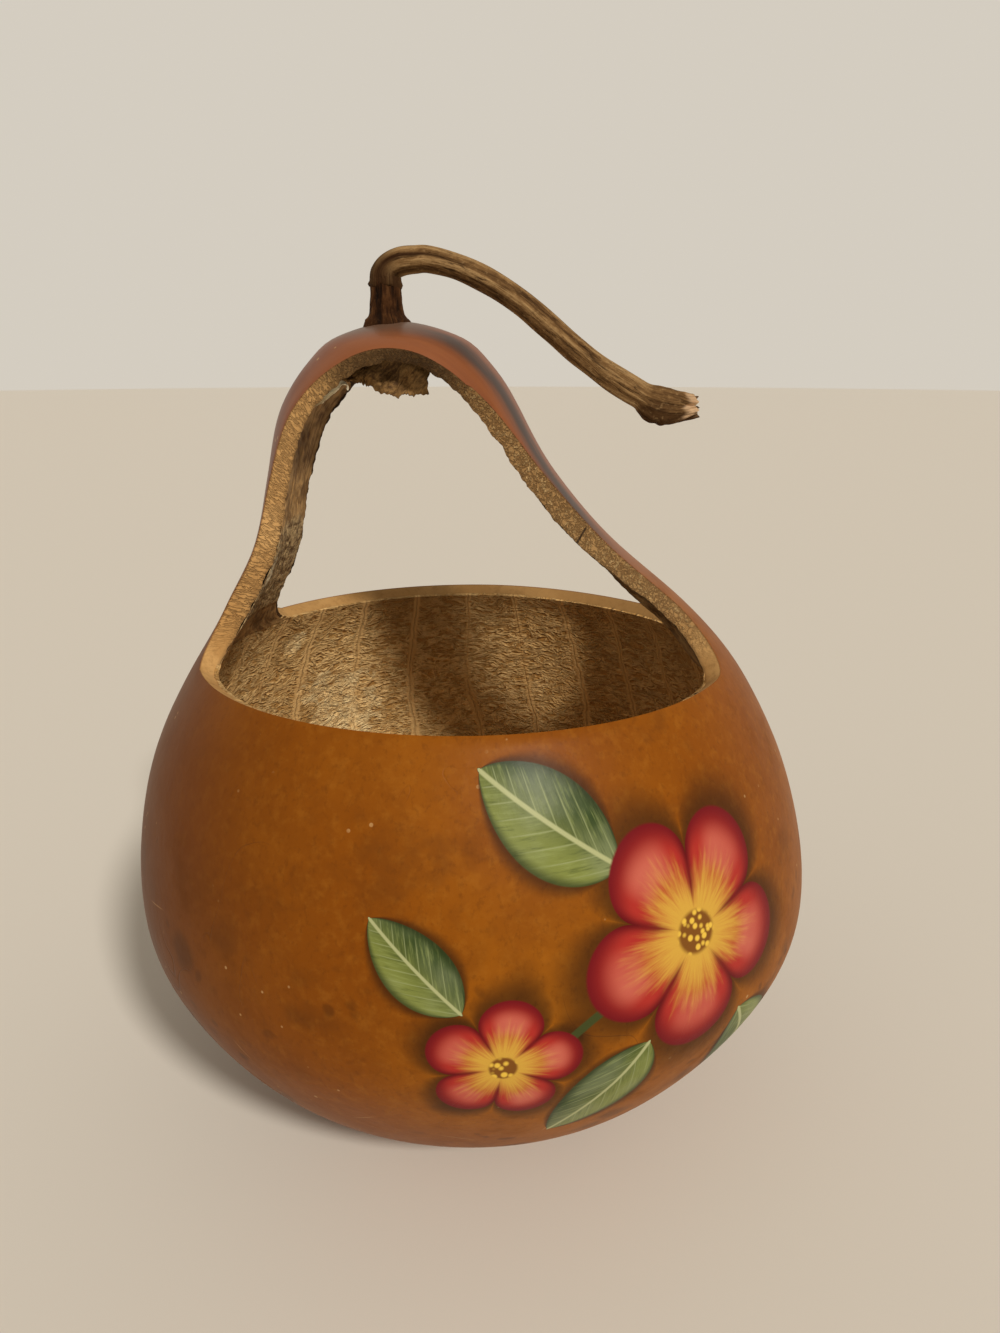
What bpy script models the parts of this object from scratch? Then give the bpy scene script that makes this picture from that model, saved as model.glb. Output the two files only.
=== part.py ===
"""Gourd basket: a dried gourd cut open front and back, so that a strap of its own wall is left as a handle.

Metres, +Z up. The strap runs along X, the openings face -Y and +Y, and the gourd stands on its foot at Z = 0.
"""
import math

import bmesh
import bpy
from mathutils import Vector
from mathutils.bvhtree import BVHTree

# Gourd outline
BELLY_RADIUS = 0.127
BELLY_HEIGHT = 0.098
FOOT_RADIUS = 0.032
CROWN_HEIGHT = 0.297
NECK_LEAN = 0.0253

# Cut openings and the strap between them
RIM_HEIGHT = 0.182
STRAP_WIDTH = 0.038
CROWN_WIDTH = 0.054
CORNER_RADIUS = 0.022

# Wall of the gourd and the dried linings inside it
BOWL_WALL = 0.010
LEFT_WALL = 0.0065
RIGHT_WALL = 0.0045
LINING = 0.0014
MEMBRANE_DROP = 0.012
MEMBRANE_WAVE = 0.0015
CURL_RADIUS = 0.0030
CURL_WIDTH = 0.0070
GAP = 0.0003

# Dried stem and the piece of vine at its end
POST_RADIUS = 0.0055
POST_FOOT_RADIUS = 0.0080
POST_HEIGHT = 0.0130
POST_OFFSET = -0.0042
STALK_RADIUS = 0.0041
STALK_REACH = 0.100
VINE_RADIUS = 0.0058

# Share of the belly's height, and share of the way from the foot's radius to the belly's
LOWER_OUTLINE = (
    (0.0, 0.0), (0.042, 0.196), (0.16, 0.432), (0.345, 0.660), (0.57, 0.842), (0.80, 0.966), (1.0, 1.0),
)
# Share of the height between belly and crown, and share of the belly radius, up the neck
NECK_OUTLINE = (
    (0.0, 1.0), (0.12, 0.979), (0.25, 0.918), (0.38, 0.810), (0.50, 0.668), (0.62, 0.509),
    (0.74, 0.404), (0.86, 0.324), (0.93, 0.250), (0.975, 0.165), (1.0, 0.0),
)
# Shares of the same height between which the neck leans over
LEAN_START = 0.327
LEAN_END = 0.874

# Stem line from the top of the post: along X and up, both as shares of the stalk's reach
STEM_LINE = (
    (0.0, 0.0), (0.002, 0.022), (0.020, 0.046), (0.058, 0.062), (0.105, 0.067), (0.157, 0.066),
    (0.258, 0.039), (0.360, -0.007), (0.461, -0.070), (0.563, -0.151), (0.666, -0.238), (0.768, -0.311),
    (0.871, -0.371), (0.922, -0.393), (0.972, -0.403), (1.022, -0.407), (1.058, -0.405),
)
STALK_SPANS = 12
SPAN_STEPS = 4
FORWARD_BOW = 0.12

STRAP_COLUMNS = 8
WINDOW_SEGMENTS = 18


def blend(a, b, t):
    return a + (b - a) * t


def ease(t):
    t = min(max(t, 0.0), 1.0)
    return t * t * (3.0 - 2.0 * t)


def smooth_run(points, steps, before=None, after=None):
    """Points of a smooth curve through the given ones."""
    before = before or 2.0 * points[0] - points[1]
    after = after or 2.0 * points[-1] - points[-2]
    knots = [before] + list(points) + [after]
    run = []
    for a, b, c, d in zip(knots, knots[1:], knots[2:], knots[3:]):
        for i in range(steps):
            t = i / steps
            bend = (2.0 * a - 5.0 * b + 4.0 * c - d) * t * t + (3.0 * b - 3.0 * c + d - a) * t ** 3
            run.append(0.5 * (2.0 * b + (c - a) * t + bend))
    return run + [points[-1].copy()]


def gourd_run():
    """Radius and height from the foot to the crown, in two smooth runs that are both upright at the belly."""
    lower = [Vector((blend(FOOT_RADIUS, BELLY_RADIUS, r), BELLY_HEIGHT * h)) for h, r in LOWER_OUTLINE]
    upper = [Vector((BELLY_RADIUS * r, blend(BELLY_HEIGHT, CROWN_HEIGHT, h))) for h, r in NECK_OUTLINE]
    crown_mirror = Vector((-upper[-2].x, upper[-2].y))
    below = smooth_run(lower, 2, None, Vector((lower[-2].x, 2.0 * BELLY_HEIGHT - lower[-2].y)))
    above = smooth_run(upper, 8, Vector((upper[1].x, 2.0 * BELLY_HEIGHT - upper[1].y)), crown_mirror)
    return below, above


LOWER, NECK = gourd_run()


def radius_at(z):
    """Radius of the gourd at a height above its belly."""
    for low, high in zip(NECK, NECK[1:]):
        if z <= high.y:
            return blend(low.x, high.x, (z - low.y) / (high.y - low.y))
    return 0.0


def lean_at(z):
    """How far the neck has leaned along X at a height."""
    share = (z - BELLY_HEIGHT) / (CROWN_HEIGHT - BELLY_HEIGHT)
    return -NECK_LEAN * ease((share - LEAN_START) / (LEAN_END - LEAN_START))


def inside(x, y, z):
    return z < CROWN_HEIGHT and math.hypot(x - lean_at(z), y) < radius_at(z)


def skin_along(start, direction):
    """Point where a ray from inside the neck meets the skin."""
    near, far = 0.0, 2.0 * CROWN_HEIGHT
    for _ in range(40):
        middle = 0.5 * (near + far)
        if inside(*(start + direction * middle)):
            near = middle
        else:
            far = middle
    return start + direction * near


def wall_at(point):
    """Wall under a point of the skin: the bowl's up to the rim, thinning to each limb's own above it."""
    limb = blend(LEFT_WALL, RIGHT_WALL, ease(0.5 + 0.5 * (point.x + NECK_LEAN) / CROWN_WIDTH))
    share = (point.z - RIM_HEIGHT) / (0.75 * (CROWN_HEIGHT - RIM_HEIGHT))
    return blend(BOWL_WALL, limb, ease(share))


def half_width_at(z):
    """Half the strap's width: round corners at the rim, slender limbs, a broader crown."""
    rise = max(z - RIM_HEIGHT, 0.0)
    share = rise / (CROWN_HEIGHT - RIM_HEIGHT)
    half = 0.5 * blend(STRAP_WIDTH, CROWN_WIDTH, ease((share - 0.4) / 0.6))
    if rise < CORNER_RADIUS:
        half += CORNER_RADIUS - math.sqrt(CORNER_RADIUS ** 2 - (CORNER_RADIUS - rise) ** 2)
    return half


def limb_heights():
    """Heights of the cross rows up one limb of the strap, close together round the corner."""
    corner = [RIM_HEIGHT + CORNER_RADIUS * (1.0 - math.cos(0.5 * math.pi * i / 6)) for i in range(6)]
    top = blend(RIM_HEIGHT, CROWN_HEIGHT, 0.72)
    start = RIM_HEIGHT + CORNER_RADIUS
    return corner + [blend(start, top, i / 8) for i in range(9)]


def arch_angles():
    """Angles of the cross rows over the whole strap, seen from the middle of the mouth."""
    middle = lean_at(RIM_HEIGHT)
    right, left = [], []
    for z in limb_heights():
        right.append(math.atan2(z - RIM_HEIGHT, lean_at(z) + radius_at(z) - middle))
        left.append(math.atan2(z - RIM_HEIGHT, lean_at(z) - radius_at(z) - middle))
    crown = [blend(right[-1], left[-1], i / 14) for i in range(1, 14)]
    return right + crown + left[::-1]


class Sheet:
    """Outer skin of the bowl and strap as one open sheet of points and faces."""

    def __init__(self):
        self.points = [Vector((0.0, 0.0, 0.0))]
        self.bowl_faces = []
        self.strap_faces = []
        rings = self.add_bowl()
        self.add_strap(rings[-1])
        self.normals = self.find_normals()

    def add(self, point):
        self.points.append(Vector(point))
        return len(self.points) - 1

    def add_bowl(self):
        rim_radius = radius_at(RIM_HEIGHT)
        half = half_width_at(RIM_HEIGHT)
        shares = [2.0 * i / STRAP_COLUMNS - 1.0 for i in range(STRAP_COLUMNS + 1)]
        limb = [math.asin(half * share / rim_radius) for share in shares]
        window = [blend(limb[-1], math.pi - limb[-1], i / WINDOW_SEGMENTS) for i in range(1, WINDOW_SEGMENTS)]
        half_turn = limb + window
        angles = half_turn + [a + math.pi for a in half_turn]
        outline = [(0.5 * FOOT_RADIUS, 0.0)]
        outline += [tuple(point) for point in LOWER]
        upper = [blend(BELLY_HEIGHT, RIM_HEIGHT, i / 8) for i in range(1, 9)]
        outline += [(radius_at(z), z) for z in upper]
        rings = []
        for radius, z in outline:
            lean = lean_at(z)
            rings.append([self.add((lean + radius * math.cos(a), radius * math.sin(a), z)) for a in angles])
        count = len(angles)
        for i in range(count):
            self.bowl_faces.append((0, rings[0][(i + 1) % count], rings[0][i]))
        for low, high in zip(rings, rings[1:]):
            for i in range(count):
                k = (i + 1) % count
                self.bowl_faces.append((low[i], low[k], high[k], high[i]))
        return rings

    def add_strap(self, rim):
        left_start = STRAP_COLUMNS + WINDOW_SEGMENTS
        rows = [rim[:STRAP_COLUMNS + 1]]
        mouth = Vector((lean_at(RIM_HEIGHT), 0.0, RIM_HEIGHT))
        for angle in arch_angles()[1:-1]:
            direction = Vector((math.cos(angle), 0.0, math.sin(angle)))
            half = half_width_at(skin_along(mouth, direction).z)
            row = []
            for i in range(STRAP_COLUMNS + 1):
                offset = Vector((0.0, half * (2.0 * i / STRAP_COLUMNS - 1.0), 0.0))
                row.append(self.add(skin_along(mouth + offset, direction)))
            rows.append(row)
        rows.append(rim[left_start:left_start + STRAP_COLUMNS + 1][::-1])
        for low, high in zip(rows, rows[1:]):
            self.strap_faces.append([
                (low[i], low[i + 1], high[i + 1], high[i]) for i in range(STRAP_COLUMNS)
            ])

    def find_normals(self):
        faces = self.bowl_faces + [face for row in self.strap_faces for face in row]
        bm = mesh_of(self.points, faces)
        bm.normal_update()
        normals = [vert.normal.copy() for vert in bm.verts]
        bm.free()
        return normals

    def strap_patch(self, first, last, margin):
        """Faces of the strap between two cross rows, set in from its edges by some columns."""
        return [face for row in self.strap_faces[first:last] for face in row[margin:STRAP_COLUMNS - margin]]


def mesh_of(points, faces):
    bm = bmesh.new()
    verts = [bm.verts.new(point) for point in points]
    for face in faces:
        bm.faces.new([verts[i] for i in face])
    return bm


def material(name, colour, roughness):
    mat = bpy.data.materials.new(name)
    mat.use_nodes = True
    shader = mat.node_tree.nodes["Principled BSDF"]
    shader.inputs["Base Color"].default_value = (*colour, 1.0)
    shader.inputs["Roughness"].default_value = roughness
    shader.inputs["Metallic"].default_value = 0.0
    return mat


def add_object(name, bm, mat, sharp_angle=40.0):
    """Turns a closed mesh into a named object, smooth but for its sharp edges."""
    bmesh.ops.recalc_face_normals(bm, faces=bm.faces)
    mesh = bpy.data.meshes.new(name)
    bm.to_mesh(mesh)
    bm.free()
    mesh.shade_smooth()
    mesh.set_sharp_from_angle(angle=math.radians(sharp_angle))
    mesh.materials.append(mat)
    obj = bpy.data.objects.new(name, mesh)
    bpy.context.collection.objects.link(obj)
    return obj


def add_layer(name, sheet, faces, outer_depth, inner_depth, mat):
    """Closed body between two depths under the skin, over the given faces of the sheet."""
    used = sorted({i for face in faces for i in face})
    place = {index: order for order, index in enumerate(used)}
    count = len(used)
    points = [sheet.points[i] - sheet.normals[i] * outer_depth(sheet.points[i]) for i in used]
    points += [sheet.points[i] - sheet.normals[i] * inner_depth(sheet.points[i]) for i in used]
    outer = [tuple(place[i] for i in face) for face in faces]
    edges = {(face[i - 1], face[i]) for face in outer for i in range(len(face))}
    body = list(outer)
    body += [tuple(i + count for i in reversed(face)) for face in outer]
    body += [(b, a, a + count, b + count) for a, b in sorted(edges) if (b, a) not in edges]
    return add_object(name, mesh_of(points, body), mat)


def lining_layer(name, sheet, faces, mat):
    def outer_depth(point):
        return wall_at(point) + GAP

    def inner_depth(point):
        return wall_at(point) + GAP + LINING

    return add_layer(name, sheet, faces, outer_depth, inner_depth, mat)


def loft(rings, start, end):
    """Closed mesh through rings of points, with a middle point to close each end."""
    bm = bmesh.new()
    loops = [[bm.verts.new(point) for point in ring] for ring in rings]
    count = len(loops[0])
    for low, high in zip(loops, loops[1:]):
        for i in range(count):
            k = (i + 1) % count
            bm.faces.new((low[i], low[k], high[k], high[i]))
    for loop, middle in ((loops[0], start), (loops[-1], end)):
        hub = bm.verts.new(middle)
        for i in range(count):
            bm.faces.new((hub, loop[i], loop[(i + 1) % count]))
    return bm


def ribbed_rings(frames, radii, ridge, twist, sides=20):
    """Rings round centres, square to their directions, each with five soft ridges that slowly turn."""
    rings = []
    for i, ((centre, along), radius) in enumerate(zip(frames, radii)):
        side = Vector((0.0, 1.0, 0.0))
        side = (side - along * side.dot(along)).normalized()
        up = side.cross(along)
        turn = twist * i / (len(frames) - 1)
        ring = []
        for k in range(sides):
            angle = 2.0 * math.pi * k / sides
            reach = radius * (1.0 + ridge * math.cos(5.0 * angle + turn))
            ring.append(centre + (up * math.cos(angle) + side * math.sin(angle)) * reach)
        rings.append(ring)
    return rings


def stem_axis():
    """Top of the post, where the stalk starts."""
    return Vector((lean_at(CROWN_HEIGHT) + POST_OFFSET, 0.0, CROWN_HEIGHT + POST_HEIGHT))


def stem_frames():
    """Centre and direction of each ring of the stem, upright at the post and bowing forward further out."""
    top = stem_axis()
    points = [top + Vector((x, -FORWARD_BOW * x, z)) * STALK_REACH for x, z in STEM_LINE]
    run = smooth_run(points, SPAN_STEPS)
    frames = [(run[0], Vector((0.0, 0.0, 1.0)))]
    for before, centre, after in zip(run, run[1:], run[2:]):
        frames.append((centre, (after - before).normalized()))
    frames.append((run[-1], (run[-1] - run[-2]).normalized()))
    return frames


def add_stem_base(mat):
    """Woody post whose spreading foot follows the crown and whose top meets the stalk."""
    top = stem_axis()
    foot = Vector((top.x, 0.0, 0.0))
    sides = 20

    def crown_ring(radius):
        ring = []
        for k in range(sides):
            angle = 2.0 * math.pi * k / sides
            reach = radius * (1.0 + 0.07 * math.cos(5.0 * angle))
            start = foot + Vector((reach * math.cos(angle), reach * math.sin(angle), RIM_HEIGHT))
            ring.append(skin_along(start, Vector((0.0, 0.0, 1.0))) + Vector((0.0, 0.0, GAP)))
        return ring

    rings = [crown_ring(0.5 * POST_FOOT_RADIUS), crown_ring(POST_FOOT_RADIUS)]
    shape = (
        (0.08, 1.24), (0.20, 1.09), (0.40, 1.0), (0.60, 0.96), (0.80, 0.98), (0.90, 1.06), (1.0, 0.97),
    )
    heights = [CROWN_HEIGHT + POST_HEIGHT * h for h, _ in shape]
    frames = [(Vector((top.x, 0.0, z)), Vector((0.0, 0.0, 1.0))) for z in heights]
    rings += ribbed_rings(frames, [POST_RADIUS * r for _, r in shape], 0.05, 0.6, sides)
    start = sum(rings[0], Vector()) / sides
    return add_object("stem_base", loft(rings, start, top), mat)


def add_stem_stalk(mat):
    """Curling stalk that rises upright from the post and bends over to the right."""
    frames = stem_frames()[:STALK_SPANS * SPAN_STEPS + 1]
    (start, first), (end, last) = frames[0], frames[-1]
    frames[0] = (start + first * GAP, first)
    frames[-1] = (end - last * GAP, last)
    radii = []
    for i in range(len(frames)):
        share = i / (len(frames) - 1)
        swell = 0.12 * ease(1.0 - share / 0.3) + 0.10 * ease((share - 0.8) / 0.2)
        radii.append(STALK_RADIUS * (1.0 + swell))
    rings = ribbed_rings(frames, radii, 0.08, 2.4)
    return add_object("stem_stalk", loft(rings, frames[0][0], frames[-1][0]), mat)


def add_vine_stub(mat):
    """Knuckle of the old vine, with a lump below and a broken end."""
    frames = stem_frames()[STALK_SPANS * SPAN_STEPS:]
    count = len(frames) - 1
    rings = ribbed_rings(frames, [1.0] * (count + 1), 0.06, 1.2)
    neck = 1.1 * STALK_RADIUS
    for i, ring in enumerate(rings):
        centre, along = frames[i]
        share = i / count
        radius = blend(neck, VINE_RADIUS, math.sin(math.pi * min(share / 0.8, 1.0)))
        radius *= blend(1.0, 0.62, max(share - 0.8, 0.0) / 0.2)
        knot = 0.35 * math.sin(math.pi * min(share / 0.6, 1.0))
        for k, point in enumerate(ring):
            ray = point - centre
            lump = 1.0 + knot * max(-ray.z, 0.0) ** 2
            tear = 0.25 * math.sin(2.3 * k) if i == count else 0.0
            ring[k] = centre + ray * radius * lump + along * tear * neck
    return add_object("vine_stub", loft(rings, frames[0][0], frames[-1][0]), mat)


def add_crown_membrane(shell, mat):
    """Torn flap of dried membrane that hangs from the underside of the crown."""
    mesh = shell.data
    tree = BVHTree.FromPolygons([v.co for v in mesh.vertices], [p.vertices for p in mesh.polygons])
    middle = lean_at(CROWN_HEIGHT)
    columns = 14
    front, back = [], []
    for i in range(columns + 1):
        share = i / columns
        x = middle + CROWN_WIDTH * blend(-0.325, 0.21, share)
        y = CROWN_WIDTH * (0.03 * math.sin(7.0 * share) - 0.30)
        below = Vector((x, y, RIM_HEIGHT))
        top = tree.ray_cast(below, Vector((0.0, 0.0, 1.0)))[0].z - 2.0 * GAP
        ragged = 0.12 * math.sin(17.0 * share) + 0.10 * math.sin(31.0 * share + 1.0)
        drop = MEMBRANE_DROP * (0.35 + 0.65 * ease(share / 0.55) + ragged)
        for step in range(5):
            down = Vector((x, y + MEMBRANE_WAVE * math.sin(0.9 * step), top - drop * step / 4))
            front.append(down)
            back.append(down + Vector((0.0, LINING, 0.0)))
    points = front + back
    half = len(front)
    faces = []
    for i in range(columns):
        for step in range(4):
            a = i * 5 + step
            faces.append((a, a + 1, a + 6, a + 5))
    edges = {(face[i - 1], face[i]) for face in faces for i in range(4)}
    body = faces + [tuple(i + half for i in reversed(face)) for face in faces]
    body += [(b, a, a + half, b + half) for a, b in sorted(edges) if (b, a) not in edges]
    return add_object("crown_membrane", mesh_of(points, body), mat)


def add_membrane_curl(sheet, row, mat):
    """Torn strip that has sprung from the lining of the left limb, near its front edge, and rolled up."""
    index = sheet.strap_faces[row][1][0]
    out = sheet.normals[index]
    seat = sheet.points[index] - out * (wall_at(sheet.points[index]) + 2.0 * GAP)
    along = Vector((0.0, 1.0, 0.0)).cross(out).normalized()
    across = out.cross(along)
    profile = []
    steps = 16
    for i in range(steps + 1):
        angle = 4.6 * i / steps
        radius = CURL_RADIUS * blend(1.0, 0.72, i / steps)
        centre = seat - out * CURL_RADIUS
        profile.append((out * math.cos(angle) + along * math.sin(angle), centre, radius))
    rings = []
    for ray, centre, radius in profile:
        half = 0.5 * CURL_WIDTH * (1.0 + 0.15 * math.sin(40.0 * radius / CURL_RADIUS))
        under = radius - 0.25 * CURL_RADIUS
        corners = ((radius, -half), (radius, half), (under, half), (under, -half))
        rings.append([centre + ray * reach + across * side for reach, side in corners])
    start = sum(rings[0], Vector()) / 4.0
    end = sum(rings[-1], Vector()) / 4.0
    return add_object("membrane_curl", loft(rings, start, end), mat)


def build():
    for obj in list(bpy.data.objects):
        bpy.data.objects.remove(obj, do_unlink=True)
    sheet = Sheet()
    rows = len(sheet.strap_faces)
    skin = material("gourd_skin", (0.42, 0.16, 0.045), 0.38)
    pith = material("pith", (0.42, 0.27, 0.12), 0.85)
    left_paper = material("left_paper", (0.22, 0.13, 0.06), 0.85)
    right_paper = material("right_paper", (0.20, 0.12, 0.05), 0.85)
    membrane = material("membrane", (0.17, 0.095, 0.04), 0.8)
    curl = material("pale_curl", (0.62, 0.48, 0.28), 0.75)
    bark = material("dark_bark", (0.10, 0.055, 0.028), 0.75)
    fibre = material("stalk_fibre", (0.24, 0.135, 0.06), 0.7)
    vine = material("old_vine", (0.30, 0.18, 0.09), 0.75)

    every_face = sheet.bowl_faces + sheet.strap_patch(0, rows, 0)
    shell = add_layer("gourd_shell", sheet, every_face, lambda point: 0.0, wall_at, skin)
    lining_layer("pith_lining", sheet, sheet.bowl_faces, pith)
    lining_layer("handle_lining_right", sheet, sheet.strap_patch(1, 13, 1), right_paper)
    lining_layer("handle_lining_left", sheet, sheet.strap_patch(rows - 16, rows - 1, 1), left_paper)
    add_crown_membrane(shell, membrane)
    add_membrane_curl(sheet, rows - 17, curl)
    add_stem_base(bark)
    add_stem_stalk(fibre)
    add_vine_stub(vine)


build()
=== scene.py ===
"""Looks of the gourd basket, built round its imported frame: skin, sawn edges, pith, paper and stem."""

import math
from bisect import bisect_right
from contextlib import contextmanager
from functools import reduce

import bmesh
import bpy
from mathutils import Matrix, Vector, bvhtree, kdtree
from mathutils.noise import noise


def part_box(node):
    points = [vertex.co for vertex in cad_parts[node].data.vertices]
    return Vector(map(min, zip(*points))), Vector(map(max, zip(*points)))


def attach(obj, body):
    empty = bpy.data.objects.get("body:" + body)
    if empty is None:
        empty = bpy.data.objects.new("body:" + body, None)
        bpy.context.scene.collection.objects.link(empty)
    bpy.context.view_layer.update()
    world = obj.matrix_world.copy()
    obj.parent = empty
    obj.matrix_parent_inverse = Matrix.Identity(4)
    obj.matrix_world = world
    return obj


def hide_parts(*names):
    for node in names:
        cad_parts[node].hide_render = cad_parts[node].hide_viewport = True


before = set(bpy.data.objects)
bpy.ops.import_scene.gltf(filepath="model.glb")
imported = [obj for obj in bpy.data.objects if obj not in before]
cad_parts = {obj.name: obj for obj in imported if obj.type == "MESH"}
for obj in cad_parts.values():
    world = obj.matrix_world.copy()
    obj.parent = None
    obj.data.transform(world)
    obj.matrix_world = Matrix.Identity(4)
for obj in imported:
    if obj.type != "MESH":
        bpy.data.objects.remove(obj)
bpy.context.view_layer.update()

# Sizes of the gourd that its solids have too
BELLY_RADIUS = 0.127
BELLY_HEIGHT = 0.098
FOOT_RADIUS = 0.032
CROWN_HEIGHT = 0.297
NECK_LEAN = 0.0253
LEAN_START = 0.327
LEAN_END = 0.874
RIM_HEIGHT = 0.182
STRAP_WIDTH = 0.038
CROWN_WIDTH = 0.054
CORNER_RADIUS = 0.022
BOWL_WALL = 0.010
LEFT_WALL = 0.0065
RIGHT_WALL = 0.0045
GAP = 0.0003

# Sizes of the stem, as in its solids
POST_RADIUS = 0.0055
POST_FOOT_RADIUS = 0.0080
POST_HEIGHT = 0.0130
POST_OFFSET = -0.0042
STALK_RADIUS = 0.0041
STALK_REACH = 0.100
VINE_RADIUS = 0.0058
FORWARD_BOW = 0.12

# What the look alone has: the rind seen at the rim, the limbs as they were cut and the wall as it grew
RIND = 0.0065
RIND_REACH = 0.035
LEFT_FOOT_WALL = 0.0082
RIGHT_FOOT_WALL = 0.0048
RIGHT_SWELL = 0.0020
SWELL_RISE = 0.052
SWELL_REACH = 0.018
RIGHT_SLANT = 0.0042
LEFT_SPREAD = 0.015
SPREAD_TURN = 1.2
SPREAD_RISE = 0.060
SHOULDER_HEIGHT = 0.163
SHOULDER_SWAY = 0.0026
SWAY_ABOVE = 0.036
SWAY_BELOW = 0.085
UNEVENNESS = 0.0008
EASED_EDGE = 0.0006
PITH_ROW = 0.0018
PITH_HOLE = 0.004
FLAP_DROP = 0.0138
FLAP_THICKNESS = 0.0005
CURL_THICKNESS = 0.0004
CURL_BEND = 0.0022
CURL_WIDTH = 0.0023
UNROLL_RADIUS = 0.118

# Outlines as shares: height and radius below and above the belly, reach and height of the stem, drop of the
# torn flap over its width, radius of the vine over its length, radius of the post over its height
LOWER_OUTLINE = (
    (0, 0), (0.042, 0.196), (0.16, 0.432), (0.345, 0.660), (0.57, 0.842), (0.80, 0.966), (1, 1),
)
NECK_OUTLINE = (
    (0, 1), (0.12, 0.979), (0.25, 0.918), (0.38, 0.810), (0.50, 0.668), (0.62, 0.509),
    (0.74, 0.404), (0.86, 0.324), (0.93, 0.250), (0.975, 0.165), (1, 0),
)
STEM_LINE = (
    (0, 0), (0.002, 0.022), (0.020, 0.046), (0.058, 0.062), (0.105, 0.067), (0.157, 0.066),
    (0.258, 0.039), (0.360, -0.007), (0.461, -0.070), (0.563, -0.151), (0.666, -0.238), (0.768, -0.311),
    (0.871, -0.371), (0.922, -0.393), (0.972, -0.403), (1.022, -0.407), (1.058, -0.405),
)
FLAP_EDGE = (
    (0, 0.42), (0.10, 0.55), (0.18, 0.65), (0.30, 0.79), (0.345, 0.80), (0.37, 0.89), (0.45, 0.97),
    (0.55, 0.99), (0.65, 1.08), (0.70, 1), (0.74, 0.99), (0.78, 1.03), (0.92, 0.99), (1, 0.97),
)
VINE_TAPER = ((0, 1), (0.50, 1), (0.70, 0.88), (0.84, 0.70), (0.94, 0.58), (1, 0.53))
POST_SHAPE = (
    (0.03, 1.35), (0.09, 1.21), (0.20, 1.08), (0.40, 1), (0.60, 0.96), (0.80, 0.93), (0.92, 0.91),
    (0.97, 0.90), (1, 0.84),
)

# Centre and reach of the places where the pith is torn
TORN_SPOTS = ((Vector((-0.070, 0.089, 0.125)), 0.023), (Vector((-0.080, 0.058, 0.163)), 0.007))

# Painted marks on the unrolled skin: centre, radius and turn, then base, angle, length and width, then the
# ring that the sprig's stalk follows; last the place, angle and length of the scratches
BLOSSOMS = (((0.073, 0.122), 0.037, 0.35), ((0.014, 0.092), 0.022, 1.10))
LEAVES = (
    ((0.050, 0.146), 2.55, 0.050, 0.027), ((0.092, 0.088), -1.05, 0.052, 0.027),
    ((0.056, 0.092), -2.15, 0.046, 0.024), ((0.003, 0.110), 2.35, 0.036, 0.019),
)
SPRIG_CENTRE = (0.075, 0.052)
SPRIG_RADIUS = 0.064
SCRATCHES = (
    ((-0.030, 0.060), 0.5, 0.013), ((0, 0.050), -0.35, 0.018), ((-0.068, 0.078), 2.2, 0.011),
    ((-0.110, 0.112), 0.2, 0.015), ((0.030, 0.056), 1.3, 0.010), ((0.165, 0.120), -0.4, 0.020),
    ((-0.210, 0.096), 0.9, 0.016), ((0.270, 0.070), 0.3, 0.017),
)

# Counts of rows and steps, and the cross rows of the arch where the papery strips start and end
TURN_STEPS = 160
PITH_STEPS = 288
BOWL_ROWS = 26
CORNER_ROWS = 10
LIMB_ROWS = 26
CROWN_ROWS = 40
LEFT_STRIP_ROWS = (-2, -46)
RIGHT_STRIP_ROWS = (1, 34)
ARCH_STEPS = 180
POST_SIDES = 60
STEM_SIDES = 56
STEM_STEPS = 10
STALK_SPANS = 12

UP = Vector((0, 0, 1))
BACK = Vector((0, 1, 0))


def blend(a, b, t):
    return a + (b - a) * t


def ease(t):
    t = min(max(t, 0), 1)
    return t * t * (3 - 2 * t)


def smooth_run(points, steps, before=None, after=None):
    """Points of a smooth curve through the given ones."""
    before = before or 2 * points[0] - points[1]
    after = after or 2 * points[-1] - points[-2]
    knots = [before] + list(points) + [after]
    run = []
    for a, b, c, d in zip(knots, knots[1:], knots[2:], knots[3:]):
        for i in range(steps):
            t = i / steps
            bend = (2 * a - 5 * b + 4 * c - d) * t * t + (3 * b - 3 * c + d - a) * t ** 3
            run.append(0.5 * (2 * b + (c - a) * t + bend))
    return run + [points[-1].copy()]


def line_height(points, place):
    """Height of a line of straight pieces at a place along it."""
    for (a, low), (b, high) in zip(points, points[1:]):
        if place <= b:
            return blend(low, high, (place - a) / (b - a))
    return points[-1][1]


def gourd_run():
    """Radius and height from the foot to the belly, and from the belly to the crown."""
    lower = [Vector((blend(FOOT_RADIUS, BELLY_RADIUS, r), BELLY_HEIGHT * h)) for h, r in LOWER_OUTLINE]
    upper = [Vector((BELLY_RADIUS * r, blend(BELLY_HEIGHT, CROWN_HEIGHT, h))) for h, r in NECK_OUTLINE]
    past_belly, before_belly = (Vector((p.x, 2 * BELLY_HEIGHT - p.y)) for p in (lower[-2], upper[1]))
    past_crown = Vector((-upper[-2].x, upper[-2].y))
    return smooth_run(lower, 6, None, past_belly), smooth_run(upper, 12, before_belly, past_crown)


LOWER, NECK = gourd_run()
NECK_HEIGHTS = [point.y for point in NECK]


def radius_at(z):
    """Radius of the gourd at a height above its belly."""
    i = min(max(bisect_right(NECK_HEIGHTS, z), 1), len(NECK) - 1)
    low, high = NECK[i - 1], NECK[i]
    share = min((z - low.y) / (high.y - low.y), 1)
    return blend(low.x, high.x, share)


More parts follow.
